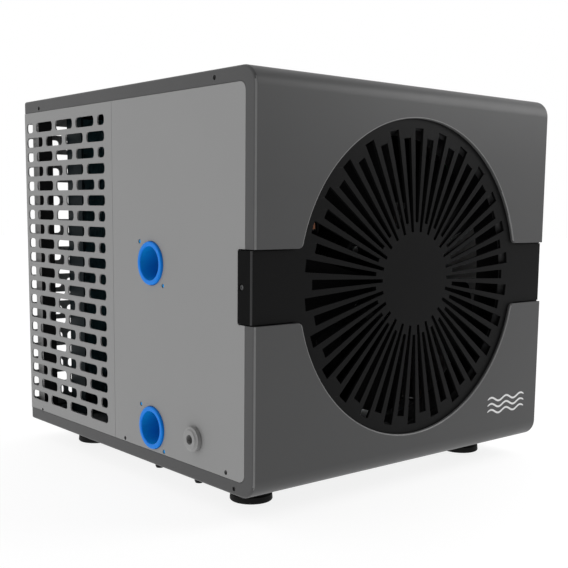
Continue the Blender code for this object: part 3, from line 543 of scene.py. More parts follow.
def is_painted_highlight(face):
    """Whether a face of the cover gets the painted highlight: at the sides, or at the opening's lower rim."""
    middle = face.calc_center_median()
    if not -0.97 < face.normal.y < -0.2 or middle.y > RIM_EDGE + SKIN + 0.1:
        return False
    at_side = min(middle.x, WIDTH - middle.x) < COVER_EDGE and abs(face.normal.x) > 0.35
    out = math.hypot(middle.x - FAN_X, middle.z - FAN_Z)
    return at_side or (out < OPENING_RADIUS + RIM_EDGE + 0.3 and face.normal.z > -0.4)


def opening_outline(near, far):
    """The round opening's half in the upper or lower cover, with its two corners at the band rounded."""
    sign = 1 if far > near else -1
    rise = abs(near - FAN_Z)
    out = math.sqrt((OPENING_RADIUS + OPENING_CORNER) ** 2 - (rise + OPENING_CORNER) ** 2)
    start = math.atan2(rise + OPENING_CORNER, out)
    corner = circle(out, rise + OPENING_CORNER, OPENING_CORNER, 8, -math.pi / 2, -(math.pi / 2 - start))
    arc = circle(0, 0, OPENING_RADIUS, 120, start, math.pi - 2 * start)
    mirrored = [(-u, v) for u, v in reversed(corner)]
    points = [(out, rise - 6), *corner, *arc[1:-1], *mirrored, (-out, rise - 6)]
    return [(FAN_X + u, FAN_Z + v * sign) for u, v in points]


def screw(name, place, radius, depth=0.9):
    """A cross-recessed screw head, sunk a little below a side face; place is on that face."""
    outward = -1 if place[0] < WIDTH / 2 else 1
    top, low = -depth, -depth - 1.4
    head = [(0, low, 0), (radius, low, 0), (radius, top - 0.5, 0), (radius * 0.72, top, 0.3), (0, top, 0)]
    bm = turned("X", (0, 0, 0), filleted(head), 24)
    arm, wide = radius * 0.55, radius * 0.13
    recess = [plate("X", top - 0.5, 1, rectangle(-u, -v, u, v)) for u, v in ((arm, wide), (wide, arm))]
    bm = cut(bm, recess)
    bmesh.ops.scale(bm, vec=(outward, 1, 1), verts=bm.verts)
    bmesh.ops.translate(bm, vec=Vector(place), verts=bm.verts)
    piece(name, bm, DARK_STEEL)


def side_screws(name, places):
    """A screw in each side of the case at each place, a y and a z."""
    for side, x in SIDES:
        for number, (y, z) in enumerate(places, 1):
            screw(f"{name}_{side}_{number}", (x, y, z), SCREW_RADIUS)


def grille_slot(index, inner, inner_width, outer, outer_width):
    """One straight-sided slot; even indexes are the long ones, the first pointing straight up."""
    angle = math.pi * index / SLOTS
    along = Vector((math.sin(angle), math.cos(angle)))
    across = Vector((along.y, -along.x))
    centre = Vector((FAN_X, FAN_Z))
    ends = [(inner, -inner_width), (outer, -outer_width), (outer, outer_width), (inner, inner_width)]
    corners = [(*(centre + along * r + across * w / 2), 0.35) for r, w in ends]
    return filleted(corners)


def band_wrap(side, low, high):
    """One end of the band, folded back on to the case's side, with its screw's countersink."""
    left, wall = GRILLE_LOW.x, GRILLE_LOW.x + GRILLE_WALL
    face, back = GRILLE_LOW.y, GRILLE_LOW.y + GRILLE_WALL
    turn = filleted([
        (left, BAND_WRAP, 0), (left, face, BAND_CORNER), (wall + 2, face, 0), (wall + 2, back, 0),
        (wall, back, 0.3), (wall, BAND_WRAP, 0),
    ])
    mirrored = side == "right"
    outline = [(2 * FAN_X - x if mirrored else x, y) for x, y in turn]
    hole_x = GRILLE_HIGH.x if mirrored else left
    countersink = turned("X", (hole_x, BAND_SCREW_Y, FAN_Z), rod(2.3, -5, 5), 32)
    return cut(plate("Z", low, high, outline), [countersink])


def front_grille():
    """The slotted disc with its cross band, which wraps on to both sides and is screwed there."""
    slots = []
    for k in range(SLOTS):
        slots.append(grille_slot(2 * k, *LONG_SLOT))
        slots.append(grille_slot(2 * k + 1, *SHORT_SLOT))
    half_band = (BAND_HIGH - BAND_LOW) / 2 - BAND_GAP
    low, high = FAN_Z - half_band, FAN_Z + half_band
    start = math.asin(half_band / GRILLE_RADIUS)
    upper = circle(FAN_X, FAN_Z, GRILLE_RADIUS, 90, start, math.pi - 2 * start)
    lower = [(2 * FAN_X - u, 2 * FAN_Z - v) for u, v in upper]
    left, right = GRILLE_LOW.x + GRILLE_WALL, GRILLE_HIGH.x - GRILLE_WALL
    outline = [(right, low), (right, high), *upper, (left, high), (left, low), *lower]
    disc = plate("Y", GRILLE_LOW.y, GRILLE_LOW.y + GRILLE_WALL, outline, slots)
    bm = cut(disc, [band_wrap(side, low, high) for side, _ in SIDES], "UNION")
    bm.normal_update()
    for face in bm.faces:
        x, lean = face.calc_center_median().x, abs(face.normal.x)
        at_side = min(x, WIDTH - x) < BAND_CORNER
        # The front faces of the band's rounded corners take the paler paint: a painted highlight.
        face.material_index = int(at_side and face.normal.y < -0.3 and lean > 0.3)
        # The band's flat side faces take the darker copy: painted shade.
        if at_side and lean > 0.97:
            face.material_index = 2
    piece("front_grille_moulding", bm, MOULDING, stands_for=["front_grille"], edge=0.3, angle=50,
          others=[BAND_HIGHLIGHT, BAND_SIDE_SHADE])
    # A black strip behind each end of the band's gap, standing in for the shadow between band and cover.
    for side, x in SIDES:
        inner = 1 if side == "left" else -1
        skin, reach, wall = x + 1.7 * inner, x + 38 * inner, x + 2.9 * inner
        outline = [(skin, SHADOW_BACKING), (reach, SHADOW_BACKING), (reach, SHADOW_BACKING + 1), (wall, SHADOW_BACKING + 1),
                   (wall, BAND_WRAP), (skin, BAND_WRAP)]
        piece(f"band_shadow_backing_{side}", plate("Z", low - SHADOW_BACKING, high + SHADOW_BACKING, outline), FAN_PLASTIC)
    for side, x in (("left", GRILLE_LOW.x), ("right", GRILLE_HIGH.x)):
        screw(f"band_screw_{side}", (x, BAND_SCREW_Y, FAN_Z), 2.2, 0.5)


def side_outline():
    """A side panel's outline, with its notch for the band."""
    notch = (BAND_HIGH - BAND_LOW) / 2
    return filleted([
        (PANEL_HIGH.y, PANEL_LOW.z, 0), (PANEL_HIGH.y, PANEL_HIGH.z, 0),
        (PANEL_LOW.y, PANEL_HIGH.z, LIP_FILLET), (PANEL_LOW.y, FAN_Z + notch, 0),
        (BAND_WRAP + GAP, FAN_Z + notch, 0.5), (BAND_WRAP + GAP, FAN_Z - notch, 0.5),
        (PANEL_LOW.y, FAN_Z - notch, 0), (PANEL_LOW.y, PANEL_LOW.z, LIP_FILLET),
    ])


def side_panels():
    """The left sheet with the holes for its fittings, the right one with the controls' window, and screws."""
    fixings = [circle(y, z, SCREW_HOLE, 20) for y, z in PANEL_SCREWS]
    holes = [*fixings]
    for kind in ("outlet", "inlet"):
        centre = round_mm(f"water_{kind}_union")[0]
        holes.append(circle(centre.y, centre.z, UNION_RADIUS + GAP, 96))
        for sign in (-1, 1):
            holes.append(circle(centre.y + sign * EAR, centre.z + sign * EAR, SCREW_HOLE, 20))
    gland = round_mm("cable_gland")[0]
    holes.append(circle(gland.y, gland.z, 6.5))
    bm = plate("X", 0, SHEET, side_outline(), holes)
    piece("left_panel_sheet", bm, PANEL_PAINT, stands_for=["left_side_panel"], edge=0.22)
    low, high = box_mm("control_bezel")
    window = rectangle(low.y + 3, low.z + 3, high.y - 3, high.z - 3, 3)
    bm = plate("X", WIDTH - SHEET, WIDTH, side_outline(), [*fixings, window])
    piece("right_panel_sheet", bm, PANEL_PAINT, stands_for=["right_side_panel"], edge=0.22)
    side_screws("panel_screw", (*PANEL_SCREWS, *GUARD_SCREWS))


def guard_slots(start, end, pitch, columns, first):
    """One flat face's staggered slots that fit from start to end, as rounded outlines on the flat blank."""
    slots = []
    for row in range(SLOT_ROWS):
        v = FAN_Z + ((SLOT_ROWS - 1) / 2 - row) * ROW_PITCH
        for k in range(columns):
            u = first + (k + 0.5 * (row % 2)) * pitch
            near, far = max(start, u - SLOT_LENGTH / 2), min(end, u + SLOT_LENGTH / 2)
            if far - near > SHORTEST_SLOT:
                slots.append(rectangle(near, v - SLOT_HEIGHT / 2, far, v + SLOT_HEIGHT / 2, SLOT_FILLET))
    return slots


def folded_guard(u, v, side):
    """Where a point of the guard's flat blank goes once it is folded; side 1 is its inner face."""
    half, wall = WIDTH / 2, SHEET * side
    if abs(u) <= half - FOLD:
        return (FAN_X + u, DEPTH - wall, v)
    if abs(u) >= half + FOLD:
        return (FAN_X + math.copysign(half - wall, u), DEPTH - (abs(u) - half), v)
    turn = (abs(u) - half + FOLD) / (2 * FOLD) * math.pi / 2
    out = half - FOLD + (FOLD - wall) * math.sin(turn)
    return (FAN_X + math.copysign(out, u), DEPTH - FOLD + (FOLD - wall) * math.cos(turn), v)


def rear_guard():
    """One slotted sheet folded into a U: the back, and a return on each side up to the panel's seam."""
    half = WIDTH / 2
    reach = half + DEPTH - SEAM
    holes = guard_slots(BACK_STRIP - half, half - BACK_STRIP, WIDTH / BACK_COLUMNS, BACK_COLUMNS + 1, -half)
    first = half + SIDE_OFFSET
    right = guard_slots(half + SIDE_STRIP, reach - SEAM_STRIP, SIDE_PITCH, SIDE_COLUMNS, first)
    right += [circle(half + DEPTH - y, z, SCREW_HOLE, 20) for y, z in GUARD_SCREWS]
    holes += right
    holes += [[(-u, v) for u, v in slot] for slot in right]
    bm = flat(rectangle(-reach, PANEL_LOW.z, reach, PANEL_HIGH.z), holes)
    for sign in (-1, 1):
        for k in range(FOLD_STEPS + 1):
            u = sign * (half + FOLD * (2 * k / FOLD_STEPS - 1))
            geometry = [*bm.verts, *bm.edges, *bm.faces]
            bmesh.ops.bisect_plane(bm, geom=geometry, plane_co=(u, 0, 0), plane_no=(1, 0, 0), dist=0.001)
    bm = thickened(bm, folded_guard)
    piece("rear_guard_sheet", bm, PANEL_PAINT, stands_for=["rear_guard"], angle=50)
    low = (STRIP_END, DEPTH - 4, HEIGHT - LIP - 2.5)
    high = (WIDTH - STRIP_END, DEPTH - 3, HEIGHT - COVER_WALL - GAP)
    piece("rear_sealing_strip", block(low, high), MOULDING, edge=0.2)


def water_unions():
    """Blue sockets with a rounded rim, a seat inside and a screwed flange behind the panel."""
    for kind in ("outlet", "inlet"):
        node = f"water_{kind}_union"
        centre, _, low, high = round_mm(node, 0)
        y, z = centre.y, centre.z
        profile = filleted([
            (UNION_BORE, low, 0.9), (UNION_RADIUS, low, 1.1), (UNION_RADIUS, high, 0),
            (UNION_BORE - 3, high, 0), (UNION_BORE - 3, high - 2, 0.5),
            (UNION_BORE - 0.2, high - 2, 0.5),
        ])
        socket = turned("X", (0, y, z), profile, 96, ring=True)
        for face in socket.faces:
            middle = face.calc_center_median()
            inside = math.hypot(middle.y - y, middle.z - z) < UNION_BORE + 0.02
            face.material_index = int(inside and middle.x > low + 1.2)
        piece(f"{kind}_socket", socket, BLUE, stands_for=[node], angle=60, others=[BORE_BLUE])
        front = SHEET + 1.6
        reach, waist = 34 / math.sqrt(2), 26 / math.sqrt(2)
        outline = filleted([(y + reach, z + reach, 6), (y - waist, z + waist, 14),
                            (y - reach, z - reach, 6), (y + waist, z - waist, 14)])
        shapes = [plate("X", front, front + 3, outline, [circle(y, z, UNION_RADIUS - 0.5, 64)])]
        for sign in (-1, 1):
            boss = (0, y + sign * EAR, z + sign * EAR)
            shapes.append(turned("X", boss, rod(1.3, 0.4, front + 0.5, 0.3), 20))
        flange = joined(shapes)
        for face in flange.faces:
            face.material_index = int(face.calc_center_median().x < SHEET + 1.5)
        piece(f"{kind}_flange", flange, BLUE, edge=0.2, others=[BORE_BLUE])


def cable_gland():
    """A grey entry bush: stepped face, lead hole with a soft edge, and its neck through the panel."""
    centre, radius, low, high = round_mm("cable_gland", 0)
    bore, neck = 3.5, 6.2
    profile = filleted([
        (bore, low, 0.5), (radius - 2.4, low, 0.4), (radius - 1.4, low + 1.0, 0.4),
        (radius, low + 1.4, 0.5), (radius, -0.3, 0.2), (neck, -0.3, 0), (neck, high, 0.4),
        (bore, high, 0.4),
    ])
    bm = turned("X", (0, centre.y, centre.z), profile, 72, ring=True)
    piece("cable_gland_bush", bm, GREY, stands_for=["cable_gland"], angle=35)
    low, high = box_mm("gland_locknut")
    hexagon = filleted([(u, v, 1) for u, v in circle(centre.y, centre.z, 11, 6)])
    bm = plate("X", low.x, high.x, hexagon, [circle(centre.y, centre.z, neck + 0.2, 32)])
    piece("gland_nut", bm, GREY, stands_for=["gland_locknut"], edge=0.4)


def feet():
    """Rubber feet with a grip ring under them, and the screws along the bottom lips."""
    for side, _ in SIDES:
        for end in ("front", "rear"):
            node = f"foot_{end}_{side}"
            _, radius, low, high = round_mm(node)
            upright(f"{end}_{side}_rubber_foot", node, [
                (0, low + 3, 0), (6, low + 3, 0.5), (7.5, low, 0.8), (radius, low, 1.4),
                (radius - 0.5, low + 5, 0.5), (radius - 1.6, low + 5.6, 0.3), (radius - 2.2, high, 0.4),
                (0, high, 0),
            ], RUBBER, 72)
        for number in (1, 2):
            node = f"base_screw_{side}_{number}"
            _, radius, low, high = round_mm(node)
            upright(f"{side}_pan_screw_{number}", node, [
                (0, low + 1.0, 0), (radius * 0.45, low + 1.0, 0), (radius * 0.5, low, 0.2),
                (radius * 0.8, low, 0.4), (radius, low + 1.6, 0.6), (radius, high, 0), (0, high, 0),
            ], BLACK_STEEL, 32)


# Fan


def fan_blade(index):
    """A twisted blade, thin at its edges, with rounded corners at the tip."""
    rows, columns = 22, 14
    inside = HUB_RADIUS - 2
    grids = []
    for side in (-0.5, 0.5):
        points = []
        for i in range(rows + 1):
            part = i / rows
            chord, middle, rise = BLADE_ROOT.lerp(BLADE_TIP, part)
            over = max(0.0, (part - 0.86) / 0.14)
            chord *= 1 - 0.22 * (1 - math.sqrt(max(0.0, 1 - over * over)))
            radius = inside + (FAN_RADIUS - inside) * part
            line = []
            for j in range(columns + 1):
                across = j / columns - 0.5
                angle = math.radians(middle + chord * across + 360 * index / BLADES)
                thin = 1 - (2 * across) ** 2
                wall = BLADE_WALL * (0.35 + 0.65 * math.sqrt(max(0.0, thin)))
                camber = 2.2 * thin * part
                depth = (HUB_FRONT + HUB_BACK) / 2 + rise * across + wall * side - camber
                line.append((FAN_X + radius * math.cos(angle), depth, FAN_Z + radius * math.sin(angle)))
            points.append(line)
        grids.append(points)
    one, two = grids
    bm, made = grid(one + two[::-1], closed=True)
    for end in (0, -1):
        strip = [row[end] for row in made]
        half = len(strip) // 2
        for a, b, c, d in zip(strip[:half], strip[1:half], strip[::-1][1:half], strip[::-1]):
            bm.faces.new((a, b, c, d))
    return bm


def fan():
    """The wheel with its ribbed hub and blades, its cap nut and the motor's shaft."""
    hub = [
        (4.3, HUB_FRONT, 0), (HUB_RADIUS - 7, HUB_FRONT, 1), (HUB_RADIUS, HUB_FRONT + 6, 3),
        (HUB_RADIUS, HUB_BACK, 0.5), (HUB_RADIUS - 2.6, HUB_BACK, 0.5),
        (HUB_RADIUS - 2.6, HUB_FRONT + 9, 2), (8.3, HUB_FRONT + 9, 1), (8.3, HUB_BACK, 0.4),
        (4.3, HUB_BACK, 0.4),
    ]
    meshes = [on_shaft(hub, 72, ring=True)]
    for k in range(BLADES):
        rib = block((8, -0.9, HUB_FRONT + 8.5), (HUB_RADIUS - 2, 0.9, HUB_BACK - 3))
        turn = Matrix.Rotation(math.pi * 2 * k / BLADES, 4, "Z")
        bmesh.ops.transform(rib, matrix=turn, verts=rib.verts)
        for vert in rib.verts:
            vert.co = (FAN_X + vert.co.x, vert.co.z, FAN_Z + vert.co.y)
        meshes.append(rib)
        meshes.append(fan_blade(k))
    for bm in meshes:
        bmesh.ops.recalc_face_normals(bm, faces=bm.faces)
    piece("fan_wheel", cut(meshes[0], meshes[1:], "UNION"), FAN_PLASTIC, "fan", ["fan_rotor"])
    _, _, low, high = round_mm("fan_nut", 1)
    dome = [(0, low, 0), (5.2, low, 1.5), (8, low + 3, 1), (8, high, 0), (0, high, 0)]
    piece("fan_cap_nut", on_shaft(dome, 48), MOULDING, "fan", ["fan_nut"], angle=50)
    _, _, low, high = round_mm("motor_shaft", 1)
    shaft = on_shaft(rounded(4, low, high, 0.5, 0.5), 32)
    piece("fan_shaft", shaft, SCREW_STEEL, "fan", ["motor_shaft"])


def fan_motor():
    """A finned can with end bells, four through bolts and the strap that carries it."""
    _, radius, nose, back = round_mm("fan_motor", 1)
    front, bore_end = 50.0, 72.3
    fins, fin_pitch = 8, 3.2
    corners = [(0, bore_end, 0), (4.3, bore_end, 0), (4.3, nose, 0.3), (12, nose, 1), (12, front, 1)]
    corners += [(radius - 4, front, 3), (radius - 1.2, front + 4, 0.5), (radius - 1.2, front + 12, 0.2)]
    for k in range(fins):
        y = front + 12 + k * fin_pitch
        corners += [(radius, y, 0.3), (radius, y + fin_pitch / 2, 0.3)]
        corners += [(radius - 1.6, y + fin_pitch / 2, 0.2), (radius - 1.6, y + fin_pitch, 0.2)]
    corners += [(radius - 1.2, back - 8, 0.3), (radius - 1.2, back - 4, 0.5)]
    corners += [(radius - 5, back, 2), (0, back, 0)]
    piece("motor_can", on_shaft(corners, 72), BLACK_STEEL, stands_for=["fan_motor"], angle=45)
    bolts = []
    for k in range(4):
        angle = math.pi / 4 + math.pi / 2 * k
        x, z = FAN_X + 29 * math.cos(angle), FAN_Z + 29 * math.sin(angle)
        bolts.append(plate("Y", front - 2.2, front + 0.5, circle(x, z, 3.2, 6)))
    piece("motor_bolts", joined(bolts), SCREW_STEEL, edge=0.3)
    low, high = box_mm("motor_bracket")
    wall, fold = 2.0, 3.0
    near, far = low.y, high.y
    inner = fold - wall
    strap = filleted([
        (far, low.z, 0), (near, low.z, fold), (near, high.z, fold), (far, high.z, 0),
        (far, high.z - wall, 0), (near + wall, high.z - wall, inner),
        (near + wall, low.z + wall, inner), (far, low.z + wall, 0),
    ])
    bm = plate("X", low.x, high.x, strap)
    piece("motor_strap", bm, BLACK_STEEL, stands_for=["motor_bracket"], edge=0.3, angle=50)


def fan_shroud():
    """The air ring: a flange behind the cover and a bell mouth whose lip has a painted highlight."""
    _, outer, low, high = round_mm("fan_shroud", 1)
    bm = on_shaft([
        (RING_BORE, low + 4, 3), (RING_BORE + 5, low, 3), (outer, low, 0.3), (outer, low + 1.6, 0.3),
        (RING_BORE + 6, low + 1.6, 2), (RING_BORE + 1.7, low + 6, 2), (RING_BORE + 1.7, high, 0.6),
        (RING_BORE, high, 0.6),
    ], 128, ring=True)
    # The lip at the mouth takes the paler paint: a painted highlight.
    for face in bm.faces:
        middle = face.calc_center_median()
        out = math.hypot(middle.x - FAN_X, middle.z - FAN_Z)
        face.material_index = int(out < RING_BORE + 3 and low < middle.y < low + 4.5)
    piece("air_ring", bm, BLACK_STEEL, stands_for=["fan_shroud"], angle=50, others=[BAND_HIGHLIGHT])


# Inside


def fin_pack(low, high):
    """Thin fins across the tubes, with a shallow zigzag from front to back."""
    fins = bmesh.new()
    zigzag = [(FIN_WAVE * (j % 2), low.y + (high.y - low.y) * j / FIN_STEPS) for j in range(FIN_STEPS + 1)]
    for k in range(int((high.x - low.x) / FIN_PITCH) + 1):
        rows = []
        for x in (low.x + k * FIN_PITCH, low.x + k * FIN_PITCH + FIN_WALL):
            for z in (low.z, high.z):
                rows.append([fins.verts.new((x + wave, y, z)) for wave, y in zigzag])
        a, b, c, d = rows
        for one, two in ((a, b), (b, d), (d, c), (c, a)):
            for j in range(FIN_STEPS):
                fins.faces.new((one[j], one[j + 1], two[j + 1], two[j]))
        for j in (0, FIN_STEPS):
            fins.faces.new((a[j], b[j], d[j], c[j]))
    return fins


def evaporator():
    """Coated fins on copper tubes, whose return bends show outside the right end plate."""
    low, high = box_mm("evaporator_fins")
    piece("evaporator_fin_pack", fin_pack(low, high), FIN_COAT, stands_for=["evaporator_fins"], angle=20)
    levels = [low.z + TUBE_PITCH * (k + 0.5) for k in range(int((high.z - low.z) / TUBE_PITCH))]
    files = (low.y + 6.5, high.y - 6.5)
    places = [(y, z) for z in levels for y in files]
    tubes = [turned("X", (0, y, z), rod(TUBE_RADIUS, low.x + 1, high.x + 1), 20) for y, z in places]
    piece("evaporator_tubes", joined(tubes), COPPER, angle=50)
    for side, _ in SIDES:
        near, far = box_mm(f"evaporator_end_plate_{side}")
        holes = [circle(y, z, TUBE_RADIUS + 0.3, 24) for y, z in places] if side == "right" else []
        bm = plate("X", near.x, far.x, rectangle(near.y, near.z, far.y, far.z, 1), holes)
        piece(f"end_plate_{side}", bm, PLATE_COAT, stands_for=[f"evaporator_end_plate_{side}"], edge=0.2)
    bends = [return_bend(high.x, y, z, z + TUBE_PITCH) for z in levels[1:-1:2] for y in files]
    piece("return_bends", joined(bends), COPPER, angle=60)


def return_bend(start, y, low, high):
    """Half a turn of tube in a vertical plane, between two heights."""
    middle, radius = (low + high) / 2, (high - low) / 2
    across = Vector((0, 1, 0))
    steps, sides, wall = 16, 12, TUBE_RADIUS - 0.1
    turns = [2 * math.pi * q / sides for q in range(sides + 1)]
    rows = []
    for k in range(-1, steps + 2):
        a = math.pi * min(max(k, 0), steps) / steps
        out = 5.0 if 0 <= k <= steps else -1.0
        centre = Vector((start + out + radius * 0.9 * math.sin(a), y, middle - radius * math.cos(a)))
        normal = Vector((math.cos(a), 0, math.sin(a))).cross(across)
        rows.append([centre + (across * math.cos(t) + normal * math.sin(t)) * wall for t in turns])
    bm, made = grid(rows)
    for end in (made[0], made[-1]):
        bm.faces.new(end[:-1])
    bmesh.ops.remove_doubles(bm, verts=bm.verts, dist=0.001)
    return bm


def compressor():
    """The welded can in its sound jacket, with its terminal cap, on three rubber mounts."""
    centre, radius, low, high = round_mm("compressor_shell")
    weld = (low + high) / 2 + 34
    wall = radius - 0.6
    upright("compressor_can", "compressor_shell", [
        (0, low, 0), (radius * 0.7, low, 10), (wall, low + 16, 10), (wall, weld, 0.4),
        (radius, weld + 0.6, 0.5), (radius, weld + 4, 0.5), (wall, weld + 4.6, 0.4),
        (wall, high - 18, 16), (radius * 0.6, high, 16), (0, high, 0),
    ], BLACK_STEEL, 72, angle=60)
    inner, outer, foot, top = radius - 0.2, radius + 4.5, low + 20, high - 26
    felt = filleted([(inner, foot, 0), (outer, foot, 2), (outer, top, 2), (inner, top, 0)])
    piece("sound_jacket", turned("Z", (centre.x, centre.y, 0), felt, 72, ring=True), SLEEVE, angle=50)
    _, radius, low, high = round_mm("terminal_cover")
    upright("compressor_terminal_cap", "terminal_cover", rounded(radius, low, high, 0.3, 4), MOULDING, 48)
    for number in (1, 2, 3):
        node = f"compressor_grommet_{number}"
        _, radius, low, high = round_mm(node)
        waist = (low + high) / 2
        upright(f"rubber_mount_{number}", node, [
            (0, low, 0), (radius, low, 0.8), (radius, waist - 1, 0.4), (radius - 2, waist, 0.4),
            (radius, waist + 1, 0.4), (radius, high, 0.8), (0, high, 0),
        ], RUBBER, 40)
    _, radius, low, high = round_mm("suction_accumulator")
    bottle = rounded(radius, low, high, 7, 7)
    upright("suction_bottle", "suction_accumulator", bottle, BLACK_STEEL, 48, angle=60)


def exchanger():
    """The ribbed water tank with its two ports and its caps."""
    _, _, low, high = round_mm("exchanger_shell")
    centre, cap_radius, _, _ = round_mm("exchanger_bottom_cap")
    radius, wall = cap_radius - 3, cap_radius - 4
    ribs = 8
    corners = [(0, low, 0), (wall, low, 0)]
    for k in range(ribs):
        z = low + (high - low) * (k + 0.5) / ribs
        corners += [(wall, z - 2, 0.5), (radius, z - 1.4, 0.3), (radius, z + 1.4, 0.3), (wall, z + 2, 0.5)]
    corners += [(wall, high, 0), (0, high, 0)]
    tank = turned("Z", (centre.x, centre.y, 0), filleted(corners), 72)
    ports = []
    for kind in ("outlet", "inlet"):
        union, _, _, back = round_mm(f"water_{kind}_union", 0)
        port = rod(UNION_RADIUS - 0.1, back + GAP, centre.x, 0.6)
        ports.append(turned("X", (0, centre.y, union.z), port, 48))
    piece("exchanger_tank", cut(tank, ports, "UNION"), GREY, stands_for=["exchanger_shell"], angle=35)
    for end, low_edge, high_edge in (("bottom", 1.5, 0.5), ("top", 0.8, 4)):
        node = f"exchanger_{end}_cap"
        _, _, low, high = round_mm(node)
        cap = rounded(cap_radius, low, high, low_edge, high_edge)
        upright(f"exchanger_cap_{end}", node, cap, GREY, 72, angle=40)


# Controls


def digit(segments, y, z, wide, tall):
    """A seven-segment figure, seen from the right side, as thin bars; y runs towards its reader's right."""
    bar = wide * 0.16
    places = {
        "a": (0.5, 1.0, True), "b": (1.0, 0.75, False), "c": (1.0, 0.25, False), "d": (0.5, 0.0, True),
        "e": (0.0, 0.25, False), "f": (0.0, 0.75, False), "g": (0.5, 0.5, True),
    }
    bars = []
    for key in segments:
        u, v, level = places[key]
        cy, cz = y + u * wide, z + v * tall
        long, short = (wide * 0.42, bar / 2) if level else (bar / 2, tall * 0.21)
        bars.append((cy - long, cz - short, cy + long, cz + short))
    return bars


def controls():
    """The bezel, smoked window with lit figures, and four buttons with plain symbols."""
    low, high = box_mm("control_bezel")
    near, far = box_mm("display_window")
    buttons = {name: round_mm(f"{name}_button", 0) for name in ("power", "mode", "down", "up")}
    holes = [rectangle(near.y - GAP, near.z - GAP, far.y + GAP, far.z + GAP, 1)]
    holes += [circle(centre.y, centre.z, 5.6, 48) for centre, *_ in buttons.values()]
    bm = plate("X", low.x, high.x, rectangle(low.y, low.z, high.y, high.z, 6), holes)
    piece("control_frame", bm, MOULDING, stands_for=["control_bezel"], edge=0.7, segments=3)
    bm = plate("X", near.x, far.x - 0.1, rectangle(near.y, near.z, far.y, far.z, 0.8))
    piece("smoked_window", bm, LENS, stands_for=["display_window"], edge=0.2)
    wide, tall = 6.5, 12.0
    z = (near.z + far.z - tall) / 2
    bars = digit("abged", near.y + 20, z, wide, tall) + digit("afgcd", near.y + 30, z, wide, tall)
    lit = [(rectangle(*bar), ()) for bar in bars]
    lit.append((circle(near.y + 41, z + tall, 1.5, 24), [circle(near.y + 41, z + tall, 0.8, 24)]))
    figures = joined([plate("X", far.x - 0.1, far.x, *shape) for shape in lit])
    piece("display_figures", figures, GLOW)
    for name, (centre, _, low, high) in buttons.items():
        cap = filleted([
            (0, low, 0), (6.2, low, 0.3), (6.2, low + 1.4, 0.3), (5, low + 1.4, 0.2),
            (5, high - 0.15, 1.1), (3.4, high - 0.12, 0.6), (0, high - 0.35, 0),
        ])
        bm = turned("X", (0, centre.y, centre.z), cap, 56)
        piece(f"{name}_key", bm, WHITE, name, [f"{name}_button"])
        shapes = [plate("X", high - 0.45, high - 0.12, *shape) for shape in symbol(name, centre.y, centre.z)]
        piece(f"{name}_symbol", joined(shapes), MOULDING, name)


def symbol(name, y, z):
    """A button's mark, as (outline, holes) pairs."""
    if name == "power":
        gap = math.radians(32)
        outer = circle(y, z, 2.4, 30, math.pi / 2 + gap, 2 * math.pi - 2 * gap)
        inner = circle(y, z, 1.85, 30, math.pi / 2 + gap, 2 * math.pi - 2 * gap)
        return [(outer + inner[::-1], ()), (rectangle(y - 0.28, z + 0.4, y + 0.28, z + 2.7), ())]
    if name == "mode":
        return [(circle(y, z, 2.4, 32), [circle(y, z, 1.85, 32)]), (circle(y, z, 0.8, 20), ())]
    rise = 1.6 if name == "up" else -1.6
    return [([(y - 2.1, z - rise), (y + 2.1, z - rise), (y, z + rise)], ())]


# Mark on the front


def wave_mark():
    """Three small wave strokes, printed on the front at its lower right."""
    strokes = []
    steps = 60
    for row in (-1, 0, 1):
        upper, lower = [], []
        for k in range(steps + 1):
            part = k / steps
            phase = 2 * math.pi * MARK_WAVES * part
            slope = MARK_SWING * 2 * math.pi * MARK_WAVES / MARK_LENGTH * math.cos(phase)
            taper = math.sqrt(max(0.0, 1 - (2 * part - 1) ** 12))
            out = Vector((-slope, 1)).normalized() * (MARK_STROKE / 2) * taper
            x = MARK_X + MARK_LENGTH * (part - 0.5)
            here = Vector((x, MARK_Z + row * MARK_PITCH + MARK_SWING * math.sin(phase)))
            upper.append(tuple(here + out))
            lower.append(tuple(here - out))
        strokes.append(plate("Y", 0, SKIN + 0.05, upper + lower[-2:0:-1]))
    piece("wave_mark", joined(strokes), INK, angle=50)


# CAD nodes whose own shape stays


def kept_nodes():
    """Gives the frame's own solids their finish; a corner post has painted shade on all but its side faces.
    """
    finishes = (
        (ZINC, "base_pan"),
        (RUBBER, "outlet_gasket", "inlet_gasket"),
        (BLACK_STEEL, "compressor_foot_plate"),
        (PANEL_PAINT, "corner_post_left", "corner_post_right"),
        (MOULDING, "electric_box", "electric_box_lid", "flow_switch"),
        (BOARD, "control_board", "display_module"),
        (WHITE, "terminal_block"),
        (ALUMINIUM, "run_capacitor"),
        (COPPER, "filter_drier", "expansion_pipe", "suction_pipe"),
        (SLEEVE, "discharge_pipe", "liquid_pipe"),
    )
    for material, *names in finishes:
        for name in names:
            mesh = frame["nodes"][name].data
            mesh.materials.clear()
            mesh.materials.append(material)
    for side, _ in SIDES:
        mesh = frame["nodes"][f"corner_post_{side}"].data
        mesh.materials.append(POST_SHADE)
        # All but the side faces take the near-black paint: painted shade.
        for face in mesh.polygons:
            face.material_index = int(abs(face.normal.x) < 0.5)


# Stage, lights and camera


def stage():
    """A plain pale floor that stays white under the soft light."""
    bpy.ops.mesh.primitive_plane_add(size=12)
    floor = bpy.context.object
    floor.name = "floor"
    material, shader, _, _ = blank("floor")
    settle(shader, Base_Color=(0.2, 0.2, 0.2, 1), Roughness=0.9)
    settle(shader, Emission_Color=(1, 1, 1, 1), Emission_Strength=0.85)
    floor.data.materials.append(material)


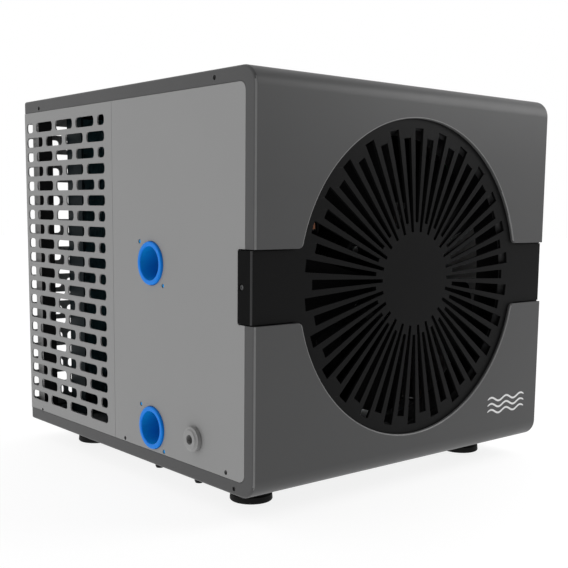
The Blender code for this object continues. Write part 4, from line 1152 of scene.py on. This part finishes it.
def world():
    """A studio that looks white all round but lights the front face less than the sides and the back."""
    scene = bpy.context.scene
    scene.world = bpy.data.worlds.new("studio")
    scene.world.use_nodes = True
    nodes, links = scene.world.node_tree.nodes, scene.world.node_tree.links
    dot = nodes.new("ShaderNodeVectorMath")
    dot.operation = "DOT_PRODUCT"
    dot.inputs[1].default_value = (0.0, -1.0, 0.0)
    links.new(nodes.new("ShaderNodeTexCoord").outputs["Generated"], dot.inputs[0])
    level = nodes.new("ShaderNodeMapRange")
    level.interpolation_type = "SMOOTHSTEP"
    settle(level, From_Min=-0.15, From_Max=0.55, To_Min=1.0, To_Max=0.0)
    links.new(dot.outputs["Value"], level.inputs["Value"])
    seen = nodes.new("ShaderNodeMath")
    seen.operation = "MAXIMUM"
    links.new(level.outputs["Result"], seen.inputs[0])
    links.new(nodes.new("ShaderNodeLightPath").outputs["Is Camera Ray"], seen.inputs[1])
    links.new(seen.outputs["Value"], nodes["Background"].inputs["Strength"])
    settle(nodes["Background"], Color=(1, 1, 1, 1))


def area_light(name, place, target, size, power):
    """A square lamp at a place in metres, turned to its target."""
    light = bpy.data.lights.new(name, "AREA")
    light.energy = power
    light.size = size
    thing = bpy.data.objects.new(name, light)
    thing.location = place
    thing.rotation_euler = (Vector(target) - Vector(place)).to_track_quat("-Z", "Y").to_euler()
    bpy.context.collection.objects.link(thing)


def camera():
    """The view from the front left, a little above the case's middle."""
    data = bpy.data.cameras.new("camera")
    data.lens = CAMERA_LENS
    data.sensor_width = 36
    data.shift_y = CAMERA_SHIFT
    data.clip_start = 0.01
    thing = bpy.data.objects.new("camera", data)
    bpy.context.collection.objects.link(thing)
    thing.location = CORNER + Vector(CAMERA_PLACE) * MM
    heading = Euler((math.radians(90 + CAMERA_ELEVATION), 0, -math.radians(CAMERA_AZIMUTH)))
    roll = Matrix.Rotation(math.radians(CAMERA_ROLL), 3, "Z")
    thing.rotation_euler = (heading.to_matrix() @ roll).to_euler()
    bpy.context.scene.camera = thing


cover_half("upper", BAND_HIGH, HEIGHT)
cover_half("lower", BAND_LOW, 0.0)
front_grille()
side_panels()
rear_guard()
water_unions()
cable_gland()
feet()
fan()
fan_motor()
fan_shroud()
evaporator()
compressor()
exchanger()
controls()
wave_mark()
kept_nodes()
stage()
world()
area_light("front_right", (0.59, -0.57, 0.60), (0.09, -0.17, 0.2), 0.5, 3.9)
camera()
bpy.context.scene.view_settings.view_transform = "Standard"
